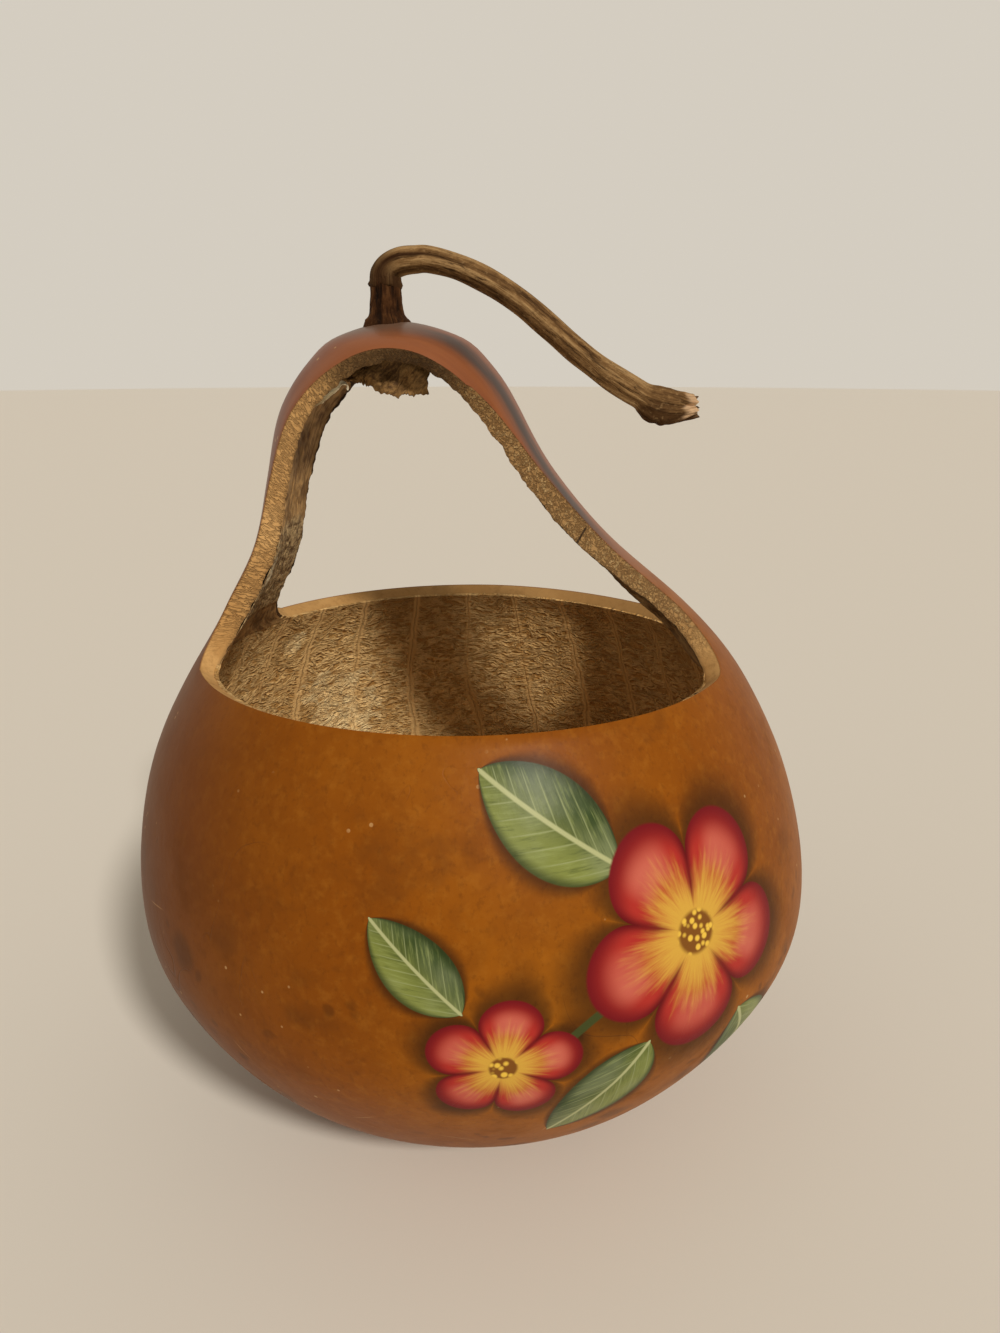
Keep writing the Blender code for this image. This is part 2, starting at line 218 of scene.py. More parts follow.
def lean_at(z):
    """How far the neck has leaned along X at a height, with the shoulder swayed a little the same way."""
    share = (z - BELLY_HEIGHT) / (CROWN_HEIGHT - BELLY_HEIGHT)
    reach = SWAY_ABOVE if z > SHOULDER_HEIGHT else SWAY_BELOW
    sway = SHOULDER_SWAY * ease(1 - abs(z - SHOULDER_HEIGHT) / reach)
    return -NECK_LEAN * ease((share - LEAN_START) / (LEAN_END - LEAN_START)) - sway


MOUTH = Vector((lean_at(RIM_HEIGHT), 0, RIM_HEIGHT))


def skin_along(start, direction):
    """Point where a ray from inside the neck meets the skin."""
    near, far = 0, CROWN_HEIGHT
    for _ in range(32):
        middle = 0.5 * (near + far)
        x, y, z = start + direction * middle
        if z < CROWN_HEIGHT and math.hypot(x - lean_at(z), y) < radius_at(z):
            near = middle
        else:
            far = middle
    return start + direction * near


def wall_at(point):
    """Hard wall under a point of the skin: the bowl's rind up to the rim, then each limb's own above it."""
    right = ease(0.5 + 0.5 * (point.x + NECK_LEAN) / CROWN_WIDTH)
    foot, limb = blend(LEFT_FOOT_WALL, RIGHT_FOOT_WALL, right), blend(LEFT_WALL, RIGHT_WALL, right)
    rise = point.z - RIM_HEIGHT
    strap = blend(foot, limb, ease(rise / (0.75 * (CROWN_HEIGHT - RIM_HEIGHT))))
    strap += right * RIGHT_SWELL * math.exp(-((rise - SWELL_RISE) / SWELL_REACH) ** 2)
    return blend(RIND, strap, ease(rise / CORNER_RADIUS))


def half_width_at(z, corner):
    """Half the strap's width: round corners at the rim, slender limbs, a broader crown."""
    rise = max(z - RIM_HEIGHT, 0)
    share = rise / (CROWN_HEIGHT - RIM_HEIGHT)
    half = 0.5 * blend(STRAP_WIDTH, CROWN_WIDTH, ease((share - 0.4) / 0.6))
    if rise < corner:
        half += corner - math.sqrt(corner ** 2 - (corner - rise) ** 2)
    return half


def growth(point):
    """Slight unevenness of the grown wall, outwards."""
    return UNEVENNESS * noise(point * 13)


def spread_foot(point):
    """Point of the skin slid round the gourd where the left limb's foot is broader, at the back."""
    axis = lean_at(point.z)
    back = math.atan2(point.y, axis - point.x)
    if not 0 < back < SPREAD_TURN:
        return point
    rise = (point.z - RIM_HEIGHT) / SPREAD_RISE
    slide = LEFT_SPREAD * ease(back / 0.37) * ease((SPREAD_TURN - back) / 0.8)
    slide = slide * ease(1 - rise) * ease(1 + rise)
    reach = math.hypot(point.x - axis, point.y)
    back += slide / reach
    return Vector((axis - reach * math.cos(back), reach * math.sin(back), point.z))


def arch_angles():
    """Angles of the cross rows over the strap, from right to left, seen from the middle of the mouth."""
    start, top = RIM_HEIGHT + CORNER_RADIUS, blend(RIM_HEIGHT, CROWN_HEIGHT, 0.72)
    turns = [0.5 * math.pi * i / CORNER_ROWS for i in range(CORNER_ROWS)]
    heights = [RIM_HEIGHT + CORNER_RADIUS * (1 - math.cos(turn)) for turn in turns]
    heights += [blend(start, top, i / LIMB_ROWS) for i in range(LIMB_ROWS + 1)]
    right = [math.atan2(z - RIM_HEIGHT, lean_at(z) + radius_at(z) - MOUTH.x) for z in heights]
    left = [math.atan2(z - RIM_HEIGHT, lean_at(z) - radius_at(z) - MOUTH.x) for z in heights]
    crown = [blend(right[-1], left[-1], i / CROWN_ROWS) for i in range(1, CROWN_ROWS)]
    return right + crown + left[::-1]


def strap_point(angle, share, corner=CORNER_RADIUS):
    """Point of the strap's skin at an angle over the arch and a share of its half width."""
    direction = Vector((math.cos(angle), 0, math.sin(angle)))
    half = half_width_at(skin_along(MOUTH, direction).z, corner)
    return skin_along(MOUTH + Vector((0, share * half, 0)), direction)


def strap_normal(angle, share):
    """Outward direction of the strap's skin there."""
    over = strap_point(angle + 0.02, share) - strap_point(angle - 0.02, share)
    across = strap_point(angle, share + 0.08) - strap_point(angle, share - 0.08)
    return across.cross(over).normalized()


def measure_arch():
    """Distances over the arch from the rim at the right, at even angles."""
    points = [strap_point(math.pi * i / ARCH_STEPS, 0) for i in range(ARCH_STEPS + 1)]
    lengths = [0]
    for before, here in zip(points, points[1:]):
        lengths.append(lengths[-1] + (here - before).length)
    return lengths


ARCH_ANGLES = arch_angles()
ARCH_LENGTHS = measure_arch()


def arch_length(point):
    """Distance of a point over the arch from the rim at the right, from its angle at the mouth."""
    angle = math.atan2(max(point.z - RIM_HEIGHT, 0), point.x - MOUTH.x)
    place = angle / math.pi * ARCH_STEPS
    i = min(int(place), ARCH_STEPS - 1)
    return blend(ARCH_LENGTHS[i], ARCH_LENGTHS[i + 1], place - i)


# Modelling helpers


def deselect():
    bpy.ops.object.select_all(action="DESELECT")


def begin(name):
    """Names the piece that an operator has just added and opens it for editing."""
    piece = bpy.context.object
    piece.name = name
    piece.data.name = name
    bpy.ops.object.mode_set(mode="EDIT")
    bpy.ops.mesh.select_mode(type="VERT")
    bpy.ops.mesh.select_all(action="SELECT")
    return piece


@contextmanager
def editing(piece):
    """The open mesh of a piece, written back afterwards."""
    bm = bmesh.from_edit_mesh(piece.data)
    yield bm
    bmesh.update_edit_mesh(piece.data)


def close_edit():
    bpy.ops.object.mode_set(mode="OBJECT")


def choose(piece, kind, test):
    """Selects the edges or faces that pass a test, and nothing else."""
    bpy.ops.mesh.select_all(action="DESELECT")
    bpy.ops.mesh.select_mode(type=kind)
    with editing(piece) as bm:
        for element in {"EDGE": bm.edges, "FACE": bm.faces}[kind]:
            if test(element):
                element.select_set(True)
        bm.select_flush_mode()


def face_outwards(merge=0):
    """Merges vertices closer than a distance and turns every face outwards."""
    bpy.ops.mesh.select_all(action="SELECT")
    if merge:
        bpy.ops.mesh.remove_doubles(threshold=merge)
    bpy.ops.mesh.normals_make_consistent(inside=False)


def spin_outline(name, outline, height, steps):
    """Piece spun from an outline of radius and height, which starts on the axis at a given height."""
    deselect()
    bpy.ops.mesh.primitive_plane_add(size=0.01)
    piece = begin(name)
    bpy.ops.mesh.merge(type="CENTER")
    here = UP * height
    bpy.ops.transform.translate(value=here)
    for point in outline:
        there = Vector((point.x, 0, point.y))
        bpy.ops.mesh.extrude_region_move(TRANSFORM_OT_translate={"value": there - here})
        here = there
    bpy.ops.mesh.select_all(action="SELECT")
    bpy.ops.mesh.spin(steps=steps, angle=math.tau, center=(0, 0, 0), axis=UP)
    face_outwards(0.00002)
    return piece


def extrude_in_place():
    bpy.ops.mesh.extrude_edges_move(TRANSFORM_OT_translate={"value": (0, 0, 0)})


def modifier(piece, kind, **settings):
    """Adds a modifier and applies it at once."""
    bpy.context.view_layer.objects.active = piece
    added = piece.modifiers.new(kind.title(), kind)
    for key, value in settings.items():
        setattr(added, key, value)
    bpy.ops.object.modifier_apply(modifier=added.name)


def mark(piece, **marks):
    """Stores a number or a vector on every vertex, under the name that the finish reads."""
    for name, values in marks.items():
        kind, field = "FLOAT", "value"
        if isinstance(values[0], tuple):
            kind, field = "FLOAT_VECTOR", "vector"
            values = [part for value in values for part in value]
        piece.data.attributes.new(name, kind, "POINT").data.foreach_set(field, values)


def group_weights(piece, name):
    """Weight of every vertex in a vertex group, 0 outside it."""
    index = piece.vertex_groups[name].index
    rows = [vert.groups for vert in piece.data.vertices]
    return [sum(entry.weight for entry in row if entry.group == index) for row in rows]


def settle(piece, node, finishes, angle=35):
    """Gives a finished piece its materials, its shading and its place in the frame."""
    deselect()
    piece.select_set(True)
    bpy.context.view_layer.objects.active = piece
    for finish in finishes:
        piece.data.materials.append(finish)
    bpy.ops.object.shade_smooth_by_angle(angle=math.radians(angle))
    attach(piece, "root")
    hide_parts(node)
    return piece


# Shader helpers


def maths(operation, swapped=False):
    """Method that adds a Math node of a value and the others it is given, or of the others first."""
    def method(self, *others):
        values = (*others, self) if swapped else (self, *others)
        return self.nodes.node("ShaderNodeMath", {"operation": operation}, dict(enumerate(values)))
    return method


class Value:
    """What a socket gives: arithmetic on it adds Math nodes."""

    def __init__(self, nodes, socket):
        self.nodes = nodes
        self.socket = socket

    __add__, __radd__ = maths("ADD"), maths("ADD", True)
    __sub__, __rsub__ = maths("SUBTRACT"), maths("SUBTRACT", True)
    __mul__, __rmul__ = maths("MULTIPLY"), maths("MULTIPLY", True)
    __truediv__, __rtruediv__ = maths("DIVIDE"), maths("DIVIDE", True)
    __pow__, __rpow__ = maths("POWER"), maths("POWER", True)
    __abs__, cos, fract = maths("ABSOLUTE"), maths("COSINE"), maths("FRACT")
    least, most, turn_from = maths("MINIMUM"), maths("MAXIMUM"), maths("ARCTAN2")

    def __neg__(self):
        return self * -1

    def rise(self, low, high):
        """0 below low, 1 above high and smooth between; falls where low is the larger."""
        inputs = {0: self, 1: low, 2: high, 3: 0, 4: 1}
        return self.nodes.node("ShaderNodeMapRange", {"interpolation_type": "SMOOTHSTEP"}, inputs)


class Nodes:
    """A node tree written as expressions."""

    def __init__(self, tree):
        self.tree = tree

    def put(self, socket, value):
        """Sets a socket to a constant or links a value to it; a tuple of values becomes a vector."""
        if isinstance(value, tuple) and any(isinstance(part, Value) for part in value):
            value = self.node("ShaderNodeCombineXYZ", {}, dict(enumerate(value)))
        if isinstance(value, Value):
            self.tree.links.new(value.socket, socket)
        elif isinstance(value, tuple) and len(socket.default_value) == 4:
            socket.default_value = (*value, 1)
        else:
            socket.default_value = value

    def node(self, kind, settings, inputs, output=0):
        made = self.tree.nodes.new(kind)
        for key, value in settings.items():
            setattr(made, key, value)
        for key, value in inputs.items():
            self.put(made.inputs[key], value)
        return Value(self, made.outputs[output])

    def mix(self, factor, a, b):
        """Colour a where the factor is 0 and b where it is 1."""
        return self.node("ShaderNodeMix", {"data_type": "RGBA"}, {0: factor, 6: a, 7: b}, 2)


class Finish(Nodes):
    """A material on the place of the piece it covers."""

    def __init__(self, name, roughness, specular):
        self.material = bpy.data.materials.new(name)
        self.material.use_nodes = True
        super().__init__(self.material.node_tree)
        self.shader = self.tree.nodes["Principled BSDF"].inputs
        self.put(self.shader["Roughness"], roughness)
        self.put(self.shader["Specular IOR Level"], specular)
        self.place = self.node("ShaderNodeTexCoord", {}, {}, "Object")
        parts = [self.node("ShaderNodeSeparateXYZ", {}, {0: self.place}, i) for i in range(3)]
        self.x, self.y, self.z = parts

    def attribute(self, name, output="Fac"):
        return self.node("ShaderNodeAttribute", {"attribute_name": name}, {}, output)

    def scaled(self, vector, factors):
        return self.node("ShaderNodeVectorMath", {"operation": "MULTIPLY"}, {0: vector, 1: factors})

    def clouds(self, scale, detail=3, roughness=0.5, place=None, distortion=0):
        inputs = {
            "Vector": place or self.place, "Scale": scale, "Detail": detail, "Roughness": roughness,
            "Distortion": distortion,
        }
        return self.node("ShaderNodeTexNoise", {}, inputs, "Fac")

    def cells(self, scale, place=None):
        inputs = {"Vector": place or self.place, "Scale": scale}
        return self.node("ShaderNodeTexVoronoi", {}, inputs, "Distance")

    def layers(self, colour, *coats):
        """Colour with coats laid over it in turn, each a mask and a colour."""
        for mask, coat in coats:
            colour = self.mix(mask, colour, coat)
        return colour

    def bump(self, height, strength, distance):
        inputs = {"Strength": strength, "Distance": distance, "Height": height}
        self.put(self.shader["Normal"], self.node("ShaderNodeBump", {}, inputs))

    def surface(self, colour, **others):
        """The material with its colour, and other sockets named with _ for a space."""
        self.put(self.shader["Base Color"], colour)
        for name, value in others.items():
            self.put(self.shader[name.replace("_", " ")], value)
        return self.material


# Finishes


def turned(du, dv, angle):
    """Offsets along a direction and across it."""
    c, s = math.cos(angle), math.sin(angle)
    return du * c + dv * s, dv * c - du * s


def blossom(f, u, v, centre, radius, turn):
    """Mask, nearness and colour of a five-petalled painted blossom."""
    du, dv = u - centre[0], v - centre[1]
    reach = (du * du + dv * dv) ** 0.5
    angle = dv.turn_from(du) + turn
    lobe = abs((angle * 2.5).cos()) ** 0.55
    share = reach / (radius * (0.60 + 0.40 * lobe))
    streaks = f.clouds(3.2, 3, 0.6, (angle * 5, reach * 30, centre[0] * 50))
    shine = f.clouds(38, 1) * lobe.rise(0.7, 1) * (share.rise(0.45, 0.62) * share.rise(0.92, 0.70))
    eye = f.mix(f.cells(420).rise(0.25, 0.55), (0.80, 0.52, 0.07), (0.20, 0.075, 0.012))
    petals = f.layers(
        (0.62, 0.36, 0.055),
        ((share + (streaks - 0.5) * 0.55).rise(0.22, 0.74), (0.40, 0.030, 0.022)),
        (share.rise(0.72, 1.02), (0.15, 0.006, 0.010)),
        (lobe.rise(0.62, 0.15) * share.rise(0.25, 0.6) * 0.75, (0.10, 0.004, 0.006)),
        (shine * 0.55, (0.80, 0.30, 0.20)),
        ((reach / radius).rise(0.20, 0.15), eye),
    )
    return share.rise(1.015, 0.985), share, petals


def leaf(f, u, v, base, angle, length, width):
    """Mask, nearness and colour of a plain oval painted leaf."""
    along, across = turned(u - base[0], v - base[1], angle)
    along, across = along / length, across / width
    inside = along.most(0.001).least(0.999)
    half = (inside * (1 - inside) * 4) ** 0.75 * (1.15 - 0.3 * inside) * 0.5
    share = abs(across) / half.most(0.02) + abs(along - 0.5).rise(0.5, 0.53) * 2
    rank = along * 7 - abs(across) * 5
    brush = f.clouds(1, 3, 0.6, (rank * 5, abs(across) * 5, base[0] * 90))
    veins = abs(rank.fract() - 0.5).rise(0.42, 0.50) * share.rise(1, 0.45)
    green = f.layers(
        (0.035, 0.060, 0.014),
        (across.rise(-0.32, 0.30), (0.20, 0.23, 0.055)),
        ((f.clouds(60, 2) - 0.35).rise(0, 0.35) * 0.45, (0.27, 0.31, 0.17)),
        (brush.rise(0.48, 0.72) * 0.40, (0.30, 0.35, 0.12)),
        (brush.rise(0.46, 0.26) * 0.45, (0.030, 0.052, 0.014)),
        (veins * 0.6, (0.32, 0.36, 0.17)),
        (abs(across).rise(0.035, 0.012), (0.42, 0.44, 0.22)),
        (share.rise(0.72, 1) * 0.8, (0.022, 0.034, 0.010)),
    )
    return share.rise(1.02, 0.98), share, green


def painted_sprig(f, u, v, skin):
    """Skin with blossoms and leaves painted on it, a burnt shade round them, and where they cover it."""
    marks = [leaf(f, u, v, *each) for each in LEAVES] + [blossom(f, u, v, *each) for each in BLOSSOMS]
    shade = reduce(Value.most, [share.rise(1.42, 1) for _, share, _ in marks])
    du, dv = u - SPRIG_CENTRE[0], v - SPRIG_CENTRE[1]
    stalk = abs((du * du + dv * dv) ** 0.5 - SPRIG_RADIUS)
    stalk = stalk.rise(0.0016, 0.0010) * u.rise(0.012, 0.018) * u.rise(0.075, 0.065) * v.rise(0.07, 0.08)
    coats = [(shade * 0.72, (0.020, 0.007, 0.002)), (stalk, (0.050, 0.060, 0.016))]
    coats += [(mask, colour) for mask, _, colour in marks]
    return f.layers(skin, *coats), reduce(Value.most, [mask for mask, _, _ in marks])


def scratched(f, u, v):
    """Mask of the fine straight scratches in the wax."""
    bend = (f.clouds(50, 1) - 0.5) * 0.003
    lines = []
    for place, angle, length in SCRATCHES:
        along, across = turned(u - place[0], v - place[1] + bend, angle)
        lines.append(abs(across).rise(0.00034, 0.00012) * abs(along / length).rise(0.5, 0.1))
    return reduce(Value.most, lines)


def waxed_skin():
    """Clouded orange wax with stains, blots and scratches, turning to smoked clay over the strap."""
    f = Finish("waxed_skin", 0.4, 0.09)
    x, y, z, along = f.x, f.y, f.z, f.attribute("along")
    round_skin = x.turn_from(-y) * UNROLL_RADIUS
    strap = z.rise(RIM_HEIGHT + 0.010, RIM_HEIGHT + 0.055)
    cloudy = f.clouds(34, 4, 0.6, None, 0.4)
    fine = f.clouds(260, 3, 0.6)
    grain = f.clouds(560, 3, 0.65, f.scaled(f.place, (1, 1, 0.7)))
    mottle = f.clouds(115, 3, 0.6, None, 0.5)
    blots = f.clouds(21, 5, 0.62, f.scaled(f.place, (1, 1, 1.3)))
    drift = f.clouds(60, 2) - 0.5
    spot_place = x + drift * 0.016, y + (cloudy - 0.5) * 0.016, z + drift * 0.010
    spots = f.cells(46, spot_place).rise(0.42, 0.16) * f.clouds(15, 1).rise(0.44, 0.58)
    small_spots = f.cells(120, spot_place).rise(0.34, 0.14) * f.clouds(31, 1).rise(0.52, 0.64)
    stain = (spots * 0.58 + small_spots * 0.45) * z.rise(0.150, 0.100)
    streak = f.clouds(1, 4, 0.6, (y * 95, along * 9, x * 4))
    clay = f.mix(streak.rise(0.35, 0.65), (0.184, 0.051, 0.016), (0.248, 0.079, 0.026))
    wander = f.clouds(1, 4, 0.6, (y * 70, along * 14, 7)) - 0.5
    band = abs(y + 0.0130 + wander * 0.012)
    wisps = f.clouds(1, 4, 0.65, (y * 330, along * 40, x * 12))
    smoke = band.rise(0.0095, 0.0012) * x.rise(-0.030, -0.005) * x.rise(0.066, 0.034)
    smoke = smoke * wisps.rise(0.12, 0.50)
    # painted shade on the front of the left limb's outer skin, away from the key light
    painted_shade_left_limb = x.rise(-0.050, -0.068) * (y + wander * 0.03).rise(-0.016, -0.006)
    off_stem = x + (NECK_LEAN - POST_OFFSET)
    hub = (off_stem * off_stem + y * y) ** 0.5
    ashen = (hub + (cloudy - 0.5) * 0.012).rise(0.024, 0.011) * z.rise(0.28, 0.29)
    specks = f.cells(150).rise(0.110, 0.070) * f.clouds(40, 1).rise(0.54, 0.62)
    hair = abs(f.clouds(9, 2, 0.5, f.scaled(f.place, (2.6, 2.6, 0.8)), 1.2) - 0.5).rise(0.0030, 0.0008)
    hair = hair * f.clouds(19, 1).rise(0.55, 0.66) * (1 - strap)
    skin = f.layers(
        (0.228, 0.062, 0.0016),
        (f.clouds(9, 2).rise(0.35, 0.66), (0.325, 0.103, 0.0042)),
        (cloudy.rise(0.40, 0.68) * 0.42, (0.175, 0.045, 0.0012)),
        (fine.rise(0.45, 0.75) * 0.30, (0.37, 0.135, 0.012)),
        (grain.rise(0.50, 0.74) * 0.34, (0.120, 0.032, 0.0012)),
        (mottle.rise(0.52, 0.72) * 0.26, (0.150, 0.040, 0.002)),
        # painted shade: the skin is darkened towards the left side of the gourd, away from the key light
        (x.rise(-0.020, -0.112) * 0.80, (0.112, 0.029, 0.001)),
        (stain, (0.070, 0.021, 0.002)),
        (blots.rise(0.58, 0.72) * 0.34, (0.095, 0.028, 0.003)),
        (strap * 0.9, clay),
        # the smoke stain along the strap, with the painted shade on the left limb laid on in the same dark
        # colour
        ((smoke + 0.7 * painted_shade_left_limb).least(1) * strap * 0.94, (0.042, 0.026, 0.020)),
        (ashen * 0.8, (0.120, 0.076, 0.050)),
        (specks * 0.62, (0.56, 0.34, 0.14)),
        (hair * 0.35, (0.085, 0.026, 0.004)),
        (scratched(f, round_skin, z) * 0.45, (0.50, 0.28, 0.115)),
    )
    skin, cover = painted_sprig(f, round_skin, z, skin)
    rough = 0.36 + 0.16 * cloudy + 0.12 * blots.rise(0.55, 0.75) + 0.08 * strap - 0.08 * cover
    height = cloudy * 0.5 + fine * 0.14 + grain * 0.08 + mottle * 0.18 + blots * 0.35 - hair * 0.3
    f.bump(height, 0.25, 0.0015)
    return f.surface(skin, Roughness=rough, Coat_Weight=strap * 0.42, Coat_Roughness=0.34)


def sawn_edge():
    """Tan cut through the wall: toothed on the left limb, corky on the right, worn round the rim."""
    f = Finish("sawn_edge", 0.8, 0.25)
    x, y, z, along, depth = f.x, f.y, f.z, f.attribute("along"), f.attribute("depth")
    strap = z.rise(RIM_HEIGHT - 0.002, RIM_HEIGHT + 0.020)
    left = x.rise(-0.015, -0.046)
    pores = f.clouds(420, 4, 0.65)
    grain = f.clouds(60)
    teeth = abs(f.clouds(1, 2, 0.6, (along * 800, depth * 1.8, y * 60), 0.6) - 0.5)
    cork = abs(f.clouds(640, 3, 0.6, None, 0.8) - 0.5)
    grooves = teeth.rise(0.085, 0.01) * left + cork.rise(0.09, 0) * (1 - left)
    flecks = f.clouds(760, 2, 0.6).rise(0.55, 0.68) * (1 - left) * strap
    worn = f.clouds(150, 4, 0.65).rise(0.50, 0.70)
    shaded = y.rise(-0.02, 0.05) * (0.42 + 0.45 * x.rise(-0.02, 0.05))
    # painted shade on the sawn edge under the crown, where it faces down away from the light
    under = z.rise(0.268, 0.282) * x.rise(-0.056, -0.040) * x.rise(0.006, -0.012)
    crack = abs(along - 0.0705 + (depth - 0.5) * 0.0016 + (pores - 0.5) * 0.0010).rise(0.0005, 0.0002)
    crack = crack * depth.rise(0.10, 0.25) * strap * x.rise(0, 0.02) * y.rise(0, -0.005)
    f.bump(pores * 0.35 - grooves * strap * 0.6 + flecks * 0.5 + grain * 0.2 - crack, 0.8, 0.0013)
    return f.surface(f.layers(
        (0.50, 0.270, 0.088),
        (grain.rise(0.35, 0.65), (0.62, 0.360, 0.132)),
        (pores.rise(0.52, 0.70) * 0.4, (0.30, 0.145, 0.042)),
        ((1 - left) * strap * 0.68, (0.22, 0.128, 0.050)),
        (left * z.rise(0.190, 0.235) * 0.35, (0.78, 0.475, 0.195)),
        ((1 - strap) * shaded, (0.30, 0.160, 0.050)),
        ((1 - strap) * worn * 0.45, (0.26, 0.130, 0.038)),
        (grooves * strap * (0.50 - 0.14 * left), (0.17, 0.076, 0.021)),
        (flecks * 0.65, (0.60, 0.400, 0.180)),
        # painted shade under the crown
        (under * 0.8, (0.085, 0.043, 0.014)),
        (depth.rise(0.10, 0) * 0.75, (0.17, 0.060, 0.016)),
        (depth.rise(0.80, 1) * 0.45, (0.20, 0.11, 0.042)),
        (crack * 0.9, (0.03, 0.014, 0.006)),
    ))


def inner_wall():
    """Dark fibrous inside of the wall."""
    f = Finish("inner_wall", 0.85, 0.2)
    fibres = f.clouds(1, 4, 0.6, (f.y * 420, f.attribute("along") * 60, f.x * 30))
    f.bump(fibres * 0.6 + f.clouds(180) * 0.5, 0.6, 0.0012)
    return f.surface(f.layers(
        (0.018, 0.009, 0.003),
        (fibres.rise(0.35, 0.68), (0.080, 0.043, 0.017)),
        (f.y.rise(-0.004, 0.010) * fibres.rise(0.25, 0.60) * 0.55, (0.17, 0.095, 0.040)),
    ))


def crinkled_pith():
    """Crepe of short level wrinkles, upright veins with a few slanting ones, and a torn pale patch."""
    f = Finish("crinkled_pith", 0.8, 0.25)
    x, y, z, relief, torn = f.x, f.y, f.z, f.attribute("relief"), f.attribute("torn")
    warp = f.clouds(70, 2)
    turn = y.turn_from(x)
    wander = (f.clouds(8, 1) - 0.5) * 1.1 + (warp - 0.5) * 0.14 + (f.clouds(170, 2) - 0.5) * 0.07
    from_vein = abs((turn * (25 / math.tau) + wander).fract() - 0.5)
    slant = abs((turn * 3.9 + z * 34 + wander * 1.6).fract() - 0.5)
    branch = slant.rise(0.050, 0.020) * f.clouds(15, 1).rise(0.50, 0.58)
    breadth = 0.030 + 0.085 * f.clouds(26, 1)
    vein = ((from_vein / breadth).rise(1.25, 0.60) * f.clouds(11, 1).rise(0.34, 0.52)).most(branch * 0.8)
    groove = from_vein.rise(0.018, 0.004) * vein
    crepe = f.clouds(1, 2, 0.5, (x * 135, y * 135, z * 350 + warp * 3), 0.9)
    second = f.clouds(1, 2, 0.5, (x * 250 + 9, y * 250, z * 600 + warp * 4), 0.7)
    crest, small = ((1 - abs(wrinkles - 0.5) * 8).most(0) for wrinkles in (crepe, second))
    height = (crest * 0.66 + small * 0.34) * (1 - 0.85 * vein) + relief * 0.15
    fine = f.clouds(650, 3, 0.6)
    flake_place = x + (fine - 0.5) * 0.004, y + (warp - 0.5) * 0.006, z + (fine - 0.5) * 0.004
    plates = f.clouds(150, 4, 0.62, flake_place, 0.8)
    scraps = (torn * 1.2 + (plates - 0.5) + (crepe - 0.5) * 0.4).rise(0.30, 0.58)
    pale = f.layers(
        (0.96, 0.64, 0.275),
        ((plates + (fine - 0.5) * 0.4).rise(0.34, 0.66), (1, 0.75, 0.385)),
        (abs(plates - 0.5).rise(0.022, 0) * 0.65, (0.40, 0.220, 0.075)),
    )
    bumps = height * 1.1 + fine * 0.22 + vein * 0.65 - groove * 0.35 + scraps * (plates - 0.5) * 3
    f.bump(bumps, 0.95, 0.0015)
    return f.surface(f.layers(
        (0.50, 0.268, 0.078),
        # paler wrinkle crests and darker hollows: partly the pith's own tone, partly painted shade in the
        # hollows between the wrinkles
        (height.rise(0.05, 0.80), (0.96, 0.655, 0.290)),
        (f.clouds(24, 2).rise(0.42, 0.68) * 0.35, (0.56, 0.310, 0.094)),
        (f.clouds(46, 3, 0.6).rise(0.50, 0.70) * 0.35, (0.40, 0.210, 0.060)),
        # painted shade: the pith is darkened towards the rim, where the light only grazes it
        (z.rise(0.140, 0.180) * 0.40, (0.40, 0.220, 0.070)),
        (fine.rise(0.50, 0.75) * 0.25, (0.36, 0.185, 0.050)),
        (vein * 0.7, (0.86, 0.570, 0.245)),
        # painted shade: the pith is darkened on the right side, which lies in the shadow of the right limb
        (x.rise(-0.03, 0.05) * 0.30, (0.42, 0.195, 0.035)),
        (groove * 0.3, (0.40, 0.215, 0.064)),
        (scraps * 0.95, pale),
    ))


def papery(name, dark, pale, shine=0.25, crumbs=None):
    """Dry membrane with fibres along the piece's own grain, crumbling to grit where it is marked so."""
    f = Finish(name, 0.72, shine)
    fibres = f.clouds(1, 4, 0.65, f.scaled(f.attribute("grain", "Vector"), (900, 110, 1)))
    patches = f.clouds(90, 3, 0.6)
    coats = [
        ((fibres + (patches - 0.5) * 0.8).rise(0.32, 0.72), pale),
        # painted highlight: the paper is made paler where its relief mark is high, on the raised folds and
        # creases
        (f.attribute("relief").rise(0.55, 1) * 0.5, tuple(min(1, 1.55 * c) for c in pale)),
    ]
    height = fibres * 0.7 + patches * 0.5
    if crumbs:
        grit = f.clouds(430, 3, 0.7)
        loose = (f.attribute("crumb") + (patches - 0.5) * 0.7).rise(0.30, 0.70)
        coats.append((loose, f.mix(grit.rise(0.36, 0.62), *crumbs)))
        coats.append((f.attribute("scrap") * grit.rise(0.30, 0.45), (0.86, 0.74, 0.50)))
        height = height + grit * loose * 1.6
    f.bump(height, 0.6, 0.0010)
    return f.surface(f.layers(dark, *coats))


